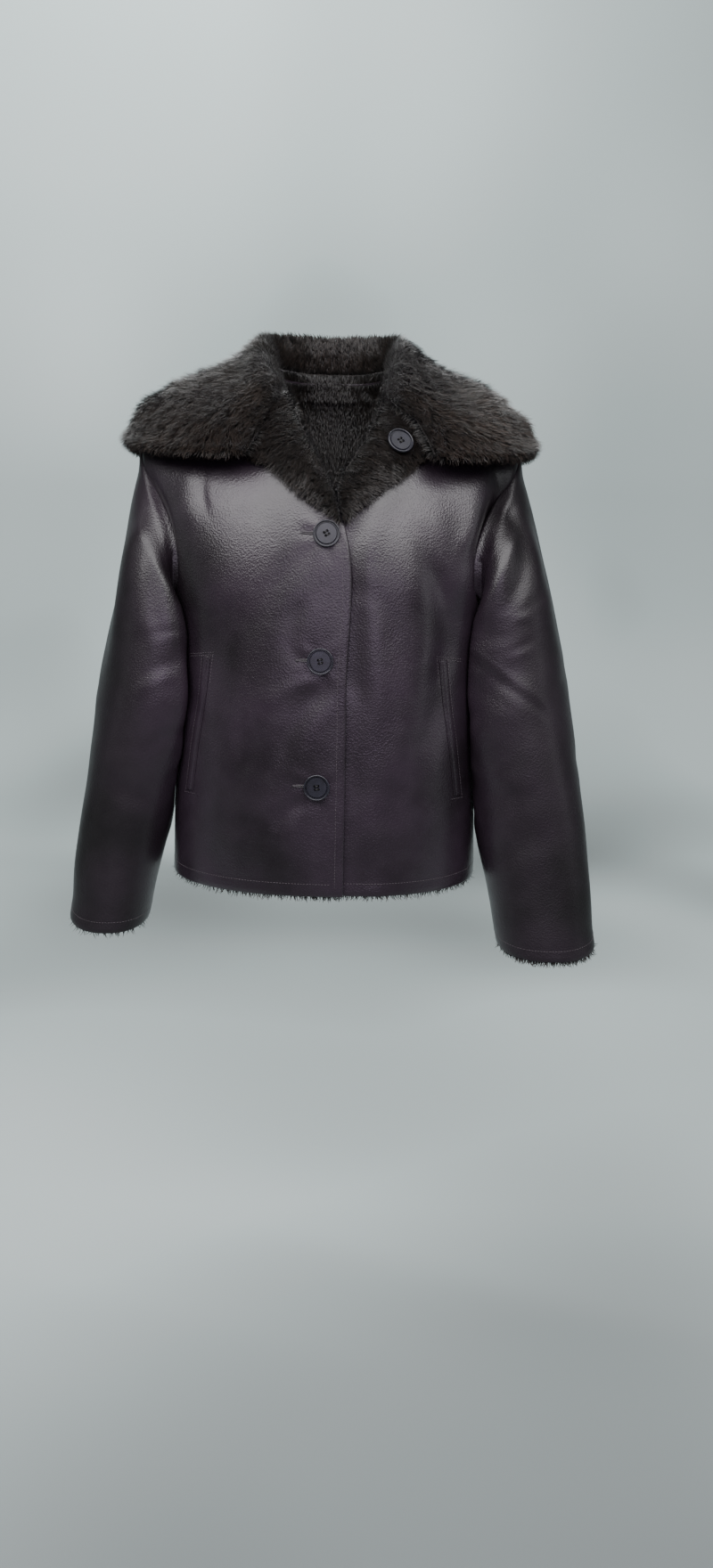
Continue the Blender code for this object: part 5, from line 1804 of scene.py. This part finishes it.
class JACKET_OT_collar(JacketPiece, bpy.types.Operator):
    """The collar: its skin, and the combed fur on it"""

    bl_idname = "jacket.collar"
    bl_label = "Collar"

    def execute(self, context):
        settings = context.scene.jacket
        face, normal, thick = collar_face()
        lining = refined(face - normal * thick[..., None], 3)
        face, normal = refined(face, 3), refined(normal, 3)
        normal = unit(normal)
        thick = np.linalg.norm(face - lining, axis=-1)
        rows, columns = face.shape[:2]
        share = np.linspace(0, 1, rows)[:, None]
        depth = np.minimum(FUR_DEPTH, thick * 0.55) + 0.0012 * rippled(face, 0.03, 5)
        from_end = np.minimum(from_border(face, "left"), from_border(face, "right"))
        near_end = smooth_step((0.022 - from_end) / 0.022)
        depth += COLLAR_END_SINK * near_end
        lay = unit(np.gradient(face, axis=0))
        hem = from_border(face, "top")
        drawn = FUR_DEPTH * 0.9 * smooth_step((0.03 - hem) / 0.03)
        across = unit(np.gradient(face, axis=1))
        button_side = COLLAR_END_DRAWN * smooth_step((0.05 - from_border(face, "right")) / 0.05)
        button_side = button_side * smooth_step((share - 0.25) / 0.3)
        skin_face = face - normal * depth[..., None] - lay * drawn[..., None]
        skin_face = skin_face - across * button_side[..., None]
        skin_wall = np.maximum(thick - depth, 0.0016)
        base = walled("collar_skin", skin_face, normal, skin_wall, (pile(), leather()))
        ridden(base, ("collar",))
        reach = (0.60 + 0.40 * smooth_step((share - 0.1) / 0.35)) * np.ones_like(thick)
        dense = (1.0 + 0.4 * smooth_step((share - 0.85) / 0.1)) * np.ones_like(thick)
        # painted shade: the fur drawn darker towards the neck seam
        tone = 0.70 + 0.30 * smooth_step((share - 0.15) / 0.3) * np.ones_like(thick)
        # painted light: the fur drawn lighter round each of these patches
        for x, z, size, more in PAINTED_LIGHT_PATCHES:
            off = (face[..., 0] - x) ** 2 + (face[..., 2] - z) ** 2
            tone = tone + more * np.exp(-off / size**2) * (face[..., 1] < 0.05)
        # painted shade: the fur drawn darker at the collar's ends, where they meet the lapels
        tone *= 1 - 0.45 * near_end
        lay = lay + 0.30 * across * np.sin(share * 5 + 8 * np.arange(columns)[None, :] / columns)[..., None]
        half = columns // 2
        halves = (("collar_fur_right", slice(0, half + 1), 0), ("collar_fur_left", slice(half, columns), 1))
        for name, cut, seed in halves:
            grid = (a[:, cut] for a in (skin_face, normal, lay, reach, dense))
            ridden(grid_fur(name, *grid, settings.seed + seed, fur(), tone[:, cut]))
        rim = rim_fur("collar_fur_rim", skin_face, normal, skin_wall, tone, settings.seed + 2)
        ridden(rim)
        seam = skin_face[0] + normal[0] * 0.002
        into = np.linspace(0, 1, 7)[:, None, None]
        neck = seam + (NECK_DROP * into) * np.array((0, 0, -1.0)) - normal[0] * NECK_BACK_OFF * into
        lay = np.broadcast_to((0, 0, -1.0), neck.shape) + normal[0] * 0.1
        outward = np.broadcast_to(normal[0], neck.shape)
        band = walled("neck_pile", neck, outward, 0.0012, (pile(),))
        ridden(band)
        # painted shade: the fur inside the neck drawn darker, at 0.45
        hairs = grid_fur("neck_fur", neck, outward, lay, 0.5, 1.2, settings.seed + 3, fur(), 0.45)
        ridden(hairs)
        return {"FINISHED"}


def rim_fur(name, face, normal, wall, tone, seed):
    """Hairs on the rim of the collar: over its outer edge and both its ends."""
    rows, columns = face.shape[:2]
    ring = [(r, 0) for r in range(rows // 12, rows - 1)] + [(rows - 1, c) for c in range(columns)]
    ring += [(r, columns - 1) for r in range(rows - 2, rows // 12 - 1, -1)]
    r = np.array([i for i, _ in ring])
    c = np.array([j for _, j in ring])
    edge = face[r, c]
    out = unit(edge - face[np.minimum(r, rows - 3), np.clip(c, 2, columns - 3)])
    up = normal[r, c]
    deep = wall[r, c][:, None]
    turn = (0.0, 0.33, 0.66, 1.0)
    bow = [out * 0.8 * deep * math.sin(math.pi * min(t + 0.1, 1.0)) for t in turn]
    strip = np.stack([edge + up * deep * (0.1 - t) + part for t, part in zip(turn, bow)])
    outward = np.stack([out * 0.6 + up * k for k in (0.8, 0.3, -0.3, -0.8)])
    down = np.stack([out + up * k + (0, 0, -0.25) for k in (0.1, -0.1, -0.4, -0.7)])
    return grid_fur(name, strip, outward, down, 0.72, 1.3, seed, fur(), tone[r, c][None, :], stray=0.55)


class JACKET_OT_lapels(JacketPiece, bpy.types.Operator):
    """The fur side of each front, turned back"""

    bl_idname = "jacket.lapels"
    bl_label = "Lapels"

    def execute(self, context):
        settings = context.scene.jacket
        for name, table, side in (("lapel_right", LAPEL_RIGHT, -1), ("lapel_left", LAPEL_LEFT, 1)):
            face, normal, height = lapel_face(table)
            t = np.linspace(0, 1, face.shape[1])[None, :, None]
            # Its top passes under the collar's end
            climb = unit(face[-1:] - face[-7:-6])
            passed = GORGE_REACH * (1 - 0.75 * t[0])
            under = np.stack([face[-1] + climb[0] * k * passed for k in (0.25, 0.5, 0.75, 1.0)])
            face = np.concatenate([face, under])
            normal = np.concatenate([normal, np.repeat(normal[-1:], 4, axis=0)])
            height = np.concatenate([height, np.repeat(height[-1:], 4, axis=0)])
            sunk = np.minimum(FUR_DEPTH * 0.8, height * 0.6)
            over = unit(np.gradient(face, axis=1))
            drawn = FUR_DEPTH * 0.5 * smooth_step((t - 0.8) / 0.2)
            skin_face = face - normal * sunk[..., None] - over * drawn
            wall = np.maximum(height - sunk, 0.0012)
            pair = [mirrored(given, side) for given in (skin_face, normal)]
            base = walled(name + "_skin", *pair, wall, (pile(), leather()))
            ridden(base, (name,))
            down = unit(np.gradient(face, axis=0))
            lay = over + down * -0.25
            reach = 0.60 + 0.2 * t[..., 0] * np.ones(face.shape[:2])
            grid = [mirrored(a, side) for a in (skin_face, normal, lay)]
            seed = settings.seed + 5 + side
            hairs = ridden(grid_fur(name + "_fur", *grid, reach, 1.5, seed, fur(), LAPEL_PAINTED_SHADE))
            edge = ridden(lapel_rim(name + "_rim", skin_face, normal, wall, side, seed + 4))
        return {"FINISHED"}


def lapel_rim(name, face, normal, wall, side, seed):
    """Hairs on both long edges and the lower end of a lapel."""
    rows, columns = face.shape[:2]
    ring = [(r, columns - 1) for r in range(rows - 1, -1, -1)] + [(0, c) for c in range(columns - 2, 0, -1)]
    ring += [(r, 0) for r in range(rows)]
    r = np.array([i for i, _ in ring])
    c = np.array([j for _, j in ring])
    edge = face[r, c]
    middle = face[np.clip(r, 3, rows - 1), np.clip(c, 3, columns - 4)]
    out = unit(edge - middle)
    up = normal[r, c]
    deep = wall[r, c][:, None] + 0.0004
    strip = np.stack([edge + up * deep * (0.2 - t) for t in (0.0, 0.4, 0.8)])
    outward = np.stack([out * 0.6 + up * k for k in (0.7, 0.3, 0.0)])
    way = np.stack([out + up * k for k in (0.3, 0.1, 0.0)])
    return grid_fur(name, strip, outward, way, 0.55, 2.6, seed, fur(), LAPEL_PAINTED_SHADE, side, stray=0.55)


class JACKET_OT_pile(JacketPiece, bpy.types.Operator):
    """Pile that shows at the hem, at the cuffs and inside the back of the neck"""

    bl_idname = "jacket.pile"
    bl_label = "Pile at the edges"

    def execute(self, context):
        settings = context.scene.jacket
        for name, side in (("front_right", -1), ("front_left", 1)):
            face, normal = front_face(side)
            band = hem_band(face[:EDGE_BAND_ROWS], normal[:EDGE_BAND_ROWS])
            ridden(edge_pile(name + "_hem_pile", band, side, settings.seed + 20 + side))
        face, normal = back_face()
        band = hem_band(face[:EDGE_BAND_ROWS], normal[:EDGE_BAND_ROWS])
        ridden(edge_pile("back_hem_pile", band, 1, settings.seed + 24))
        columns = face.shape[1]
        seen = face[INSIDE_FROM_ROW:, columns // 4:columns * 3 // 4]
        inward = -normal[INSIDE_FROM_ROW:, columns // 4:columns * 3 // 4]
        fade = smooth_step(np.linspace(0, 4, len(seen)))[:, None] * np.ones(seen.shape[:2])
        lay = np.broadcast_to((0, 0, -1.0), seen.shape)
        place, seed = seen + inward * WALL, settings.seed + 30
        # painted shade: the pile inside the back drawn darker, at 0.8
        hairs = grid_fur("back_inside_pile", place, inward, lay, 0.5, fade * 0.5, seed, edge_fur(), 0.8)
        ridden(hairs)
        for name, side in (("sleeve_right", -1), ("sleeve_left", 1)):
            face, normal = sleeve_face(side)
            face = np.concatenate([face, face[:, :1]], axis=1)[::-1]
            normal = np.concatenate([normal, normal[:, :1]], axis=1)[::-1]
            band = hem_band(face[:EDGE_BAND_ROWS], normal[:EDGE_BAND_ROWS])
            strong = 0.2 if side < 0 else 0.9
            ridden(edge_pile(name + "_cuff_pile", band, side, settings.seed + 26 + side, strong))
        return {"FINISHED"}


def hem_band(face, normal):
    """(points, outward, lay) of the pile just inside an edge, from the edge's rim upward."""
    down = unit(face[0] - face[1])
    inside = face - normal * WALL * 0.92
    lip = inside[:1] + down * 0.0008 + normal[:1] * WALL * 0.35
    points = np.concatenate([lip, inside])
    outward = np.concatenate([down[None] * 0.9 - normal[:1] * 0.3, -normal])
    lay = np.broadcast_to(down, points.shape)
    return points, outward, lay


def edge_pile(name, band, side, seed, share=0.35):
    points, outward, lay = band
    rows = len(points)
    fade = smooth_step((rows - np.arange(rows)) / (rows * 0.7))[:, None] * np.ones(points.shape[:2])
    strong = np.where(np.arange(rows)[:, None] < 2, 2.2, 1.0) * fade
    reach = np.where(np.arange(rows)[:, None] < 2, 0.55, 0.42) * np.ones(points.shape[:2])
    thick = strong * share
    return grid_fur(name, points, outward, lay, reach, thick, seed, edge_fur(), 1.0, side, stray=0.7)


class JACKET_OT_pockets(JacketPiece, bpy.types.Operator):
    """The stitched fold in front of each pocket slit"""

    bl_idname = "jacket.pockets"
    bl_label = "Pockets"

    def execute(self, context):
        for name, side in (("pocket_welt_right", -1), ("pocket_welt_left", 1)):
            line = along(POCKET_MOUTH, 61)
            t = np.linspace(0, 1, 13)[None, :]
            x = line[:, :1] - POCKET_WELT_WIDTH * t
            z = np.repeat(line[:, 1:], 13, axis=1)
            base, normal = on_front(x, z, side)
            swell = 0.35 + 0.65 * np.sin(np.clip(t * 1.25, 0, 1) * math.pi) ** 0.5
            groove = 0.45 * np.exp(-(((t - 0.72) / 0.10) ** 2))
            high = POCKET_WELT_THICK * 0.6 * np.clip(swell - groove, 0.15, 1)
            face = base + normal * (0.0004 + high)[..., None]
            obj = walled(name + "_fold", mirrored(face, side), mirrored(normal, side), high, (leather(),))
            ridden(obj, (name,))
        return {"FINISHED"}


def on_front(x, z, side):
    """(points, normals) of one front's finished leather at places x, z on its own side."""
    face, normal = front_face(side)
    flat = face.reshape(-1, 3)
    tree = BVHTree.FromPolygons([Vector(p) for p in flat], grid_faces(*face.shape[:2], normal, face))
    points = np.zeros(np.shape(x) + (3,))
    ways = np.zeros_like(points)
    for index in np.ndindex(*np.shape(x)):
        hit = tree.ray_cast(Vector((x[index], -0.4, z[index])), Vector((0, 1, 0)), 0.6)
        if hit[0] is None:
            hit = tree.find_nearest(Vector((x[index], -0.13, z[index])))
        way = Vector(hit[1])
        points[index] = hit[0]
        ways[index] = way if way.y < 0 else -way
    return points, ways


class JACKET_OT_buttons(JacketPiece, bpy.types.Operator):
    """Four-hole buttons with a raised rim, sewn on with crossed thread"""

    bl_idname = "jacket.buttons"
    bl_label = "Buttons"

    def execute(self, context):
        thread = shared("black button thread", sewing_thread, "black button thread", "#0e0c0d")
        for name, x, z in BUTTONS:
            place, normal = chest(np.array(x), np.array(z))
            sewn_button(name, place + normal * BUTTON_SHANK, normal, BUTTON_TURNS[name], thread)
        name, x, z = LAPEL_BUTTON
        place, normal = chest(np.array(x), np.array(z))
        lifted = place + normal * (LAPEL_THICK + LAYER_GAP * 2 + LAPEL_BUTTON_SHANK)
        sewn_button(name, lifted, normal, BUTTON_TURNS[name], thread)
        return {"FINISHED"}


def lathe(name, profile, segments, made_of):
    """A closed turned solid about Z: the profile's ends lie on the axis."""
    turn = np.linspace(0, 2 * math.pi, segments, endpoint=False)
    rings = [[(r * math.cos(a), r * math.sin(a), z) for a in turn] for r, z in profile[1:-1]]
    verts = [(0, 0, profile[0][1])] + [v for ring in rings for v in ring] + [(0, 0, profile[-1][1])]
    faces = []
    for k in range(segments):
        n = (k + 1) % segments
        faces.append((0, 1 + n, 1 + k))
        for ring in range(len(rings) - 1):
            low, high = 1 + ring * segments, 1 + (ring + 1) * segments
            faces.append((low + k, low + n, high + n, high + k))
        top = 1 + (len(rings) - 1) * segments
        faces.append((top + k, top + n, len(verts) - 1))
    mesh = bpy.data.meshes.new(name)
    mesh.from_pydata(verts, [], faces)
    mesh.materials.append(made_of)
    return finished(name, mesh)


def sewn_button(name, place, normal, turned, thread):
    """A button's finer form over its solid, with two strands of thread through its holes."""
    r, h = BUTTON_RADIUS, BUTTON_THICK
    top = h - BUTTON_DISH * 0.6
    w = BUTTON_RING
    angles = np.linspace(math.pi / 2, -math.pi / 2, 9)
    rim = [(r - w * 0.5 + w * 0.5 * math.sin(a), h - w * 0.5 * (1 - math.cos(a))) for a in angles]
    groove = h - BUTTON_GROOVE
    dish = [(r - w * 1.15, groove), (r - w * 1.7, groove), (r - w * 2.3, top), (r * 0.35, top)]
    foot = [(0, 0), (r * 0.78, 0), (r * 0.93, h * 0.16), (r, h * 0.42), (r, h * 0.66)]
    profile = foot + rim + dish + [(0, top)]
    resin = shared("polished resin", resin_button)
    made = lathe(name + "_disc", profile, 64, resin)
    bores = []
    for k in range(4):
        a = math.pi / 4 + k * math.pi / 2
        bore = lathe(f"bore_{k}", BORE, 20, resin)
        hole = (BUTTON_HOLE_OUT * math.cos(a), BUTTON_HOLE_OUT * math.sin(a), 0)
        bore.data.transform(Matrix.Translation(hole))
        bores.append(bore)
        cut = made.modifiers.new(f"hole_{k}", "BOOLEAN")
        cut.object, cut.operation, cut.solver = bore, "DIFFERENCE", "EXACT"
    bpy.context.view_layer.update()
    holed = bpy.data.meshes.new_from_object(made.evaluated_get(bpy.context.evaluated_depsgraph_get()))
    made.modifiers.clear()
    made.data = holed
    for bore in bores:
        bpy.data.objects.remove(bore, do_unlink=True)
    holed.shade_smooth()
    holed.set_sharp_from_angle(angle=math.radians(38))
    facing = Vector(normal).to_track_quat("Z", "Y").to_matrix().to_4x4()
    pose = Matrix.Translation(Vector(place)) @ facing @ Matrix.Rotation(turned, 4, "Z")
    holed.transform(pose)
    ridden(made, (name,))
    strands = []
    for k in (-1, 1):
        for drift in (-0.22, 0.22):
            out = BUTTON_HOLE_OUT * math.cos(math.pi / 4)
            at = np.linspace(-1, 1, 9)
            sag = top + 0.0006 - 0.0024 * np.abs(at) ** 5
            line = np.stack([at * out, np.full(9, k * out + drift * 0.001), sag], axis=1)
            strands.append(tube(line, 0.00040, 6))
    down = np.linspace(-BUTTON_SHANK * 1.5, 0.002, 5)
    corners = [(x, y) for x in (-1.4, 1.4) for y in (-1.4, 1.4)]
    legs = [tube(np.array([(x * 0.001, y * 0.001, z) for z in down]), 0.0007, 8) for x, y in corners]
    sewn = joined(name + "_thread", strands + legs, thread)
    sewn.data.transform(pose)
    ridden(sewn)


class JACKET_OT_buttonholes(JacketPiece, bpy.types.Operator):
    """Bound slits beside the front buttons: leather lips round a dark strand that paints the shade in each
    slit
    """

    bl_idname = "jacket.buttonholes"
    bl_label = "Buttonholes"

    def execute(self, context):
        parts, slits = [], []
        for _, x, z in BUTTONS:
            turn = np.linspace(0, 2 * math.pi, 40, endpoint=False)
            over = SLIT_LENGTH / 2 * np.sign(np.cos(turn)) * np.abs(np.cos(turn)) ** 0.8
            up = 0.0011 * np.sin(turn)
            middle = -x + SLIT_REACH - SLIT_LENGTH / 2
            place, way = on_front(middle + over, z + 0.0006 + up, -1)
            parts.append(tube(mirrored(place + way * 0.0003, -1), 0.00085, 8, closed=True))
            t = np.linspace(-1, 1, 15)
            # painted shade: a dark strand along each slit stands for the shade in its opening
            place, way = on_front(middle + t * SLIT_LENGTH * 0.47, np.full(15, z + 0.0006), -1)
            slits.append(tube(mirrored(place + way * 0.00005, -1), 0.0011 * np.sqrt(1.05 - t**2), 8))
        ridden(joined("buttonhole_lips", parts, leather()))
        dark = shared("painted slit shade", sewing_thread, "painted slit shade", "#110e10")
        ridden(joined("buttonhole_slit_shade", slits, dark))
        return {"FINISHED"}


class JACKET_OT_stitches(JacketPiece, bpy.types.Operator):
    """Topstitching along the right front's edge, the hem, the cuffs and the pockets"""

    bl_idname = "jacket.stitches"
    bl_label = "Stitches"

    def execute(self, context):
        lift = 0.00012
        lines = []
        for side in (-1, 1):
            face, normal = front_face(side)
            proud = face + normal * lift
            if side < 0:
                lines.append(mirrored(inset_line(proud, "left", EDGE_STITCH)[HEM_SKIP:EDGE_TOP], side))
            skip = EDGE_SKIP if side < 0 else UNDER_SKIP
            lines.append(mirrored(inset_line(proud, "bottom", HEM_STITCH)[skip:], side))
        face, normal = back_face()
        lines.append(inset_line(face + normal * lift, "bottom", HEM_STITCH))
        thread = shared("aubergine thread", sewing_thread, "aubergine thread", "#6a5f66")
        ridden(stitched("body_stitches", lines, thread))
        lines = []
        for side in (-1, 1):
            face, normal = sleeve_face(side)
            proud = face + normal * lift
            line = inset_line(proud, "top", CUFF_STITCH)
            lines.append(mirrored(np.concatenate([line, line[:1]]), side))
        ridden(stitched("cuff_stitches", lines, thread))
        lines = []
        for side in (-1, 1):
            top, bottom = np.array(POCKET_MOUTH[0]), np.array(POCKET_MOUTH[-1])
            mouth = along(POCKET_MOUTH, 60)
            for off, last in ((0.0012, 60), (-0.0115, 12)):
                place, way = on_front(mouth[:last, 0] + off, mouth[:last, 1], side)
                lines.append(mirrored(place + way * lift, side))
            for drop in (0.0, -0.0028):
                x = np.linspace(top[0] - 0.0120, top[0] + 0.0160, 24)
                z = top[1] + 0.0035 + drop - (x - top[0]) * 0.12
                place, way = on_front(x, z, side)
                lines.append(mirrored(place + way * lift, side))
            x = np.linspace(bottom[0] - 0.0110, bottom[0] + 0.0020, 12)
            place, way = on_front(x, np.full(12, bottom[1] - 0.0035), side)
            lines.append(mirrored(place + way * lift, side))
        ridden(stitched("pocket_stitches", lines, thread))
        return {"FINISHED"}


def inset_line(face, side, inset):
    """The line of points that lies a distance in from one border of a grid."""
    far = from_border(face, side)
    along_border = side in ("left", "right")
    points = face if along_border else face.transpose(1, 0, 2)
    far = far if along_border else far.T
    if side in ("right", "top"):
        points, far = points[:, ::-1], far[:, ::-1]
    line = []
    for row, reach in zip(points, far):
        line.append([np.interp(inset, reach, row[:, k]) for k in range(3)])
    return np.array(line)


PIECES = (
    JACKET_OT_stage,
    JACKET_OT_fronts,
    JACKET_OT_back,
    JACKET_OT_sleeves,
    JACKET_OT_collar,
    JACKET_OT_lapels,
    JACKET_OT_pile,
    JACKET_OT_pockets,
    JACKET_OT_buttons,
    JACKET_OT_buttonholes,
    JACKET_OT_stitches,
)


class JACKET_PT_panel(bpy.types.Panel):
    bl_idname = "JACKET_PT_panel"
    bl_label = "Jacket"
    bl_space_type = "VIEW_3D"
    bl_region_type = "UI"
    bl_category = "Jacket"

    def draw(self, context):
        for name in JacketSettings.__annotations__:
            self.layout.prop(context.scene.jacket, name)
        for piece in PIECES:
            self.layout.operator(piece.bl_idname)


def register():
    for made in (JacketSettings, *PIECES, JACKET_PT_panel):
        bpy.utils.register_class(made)
    bpy.types.Scene.jacket = PointerProperty(type=JacketSettings)


def unregister():
    del bpy.types.Scene.jacket
    for made in (JACKET_PT_panel, *reversed(PIECES), JacketSettings):
        bpy.utils.unregister_class(made)


def main():
    register()
    for piece in PIECES:
        group, name = piece.bl_idname.split(".")
        getattr(getattr(bpy.ops, group), name)()


if __name__ == "__main__":
    main()
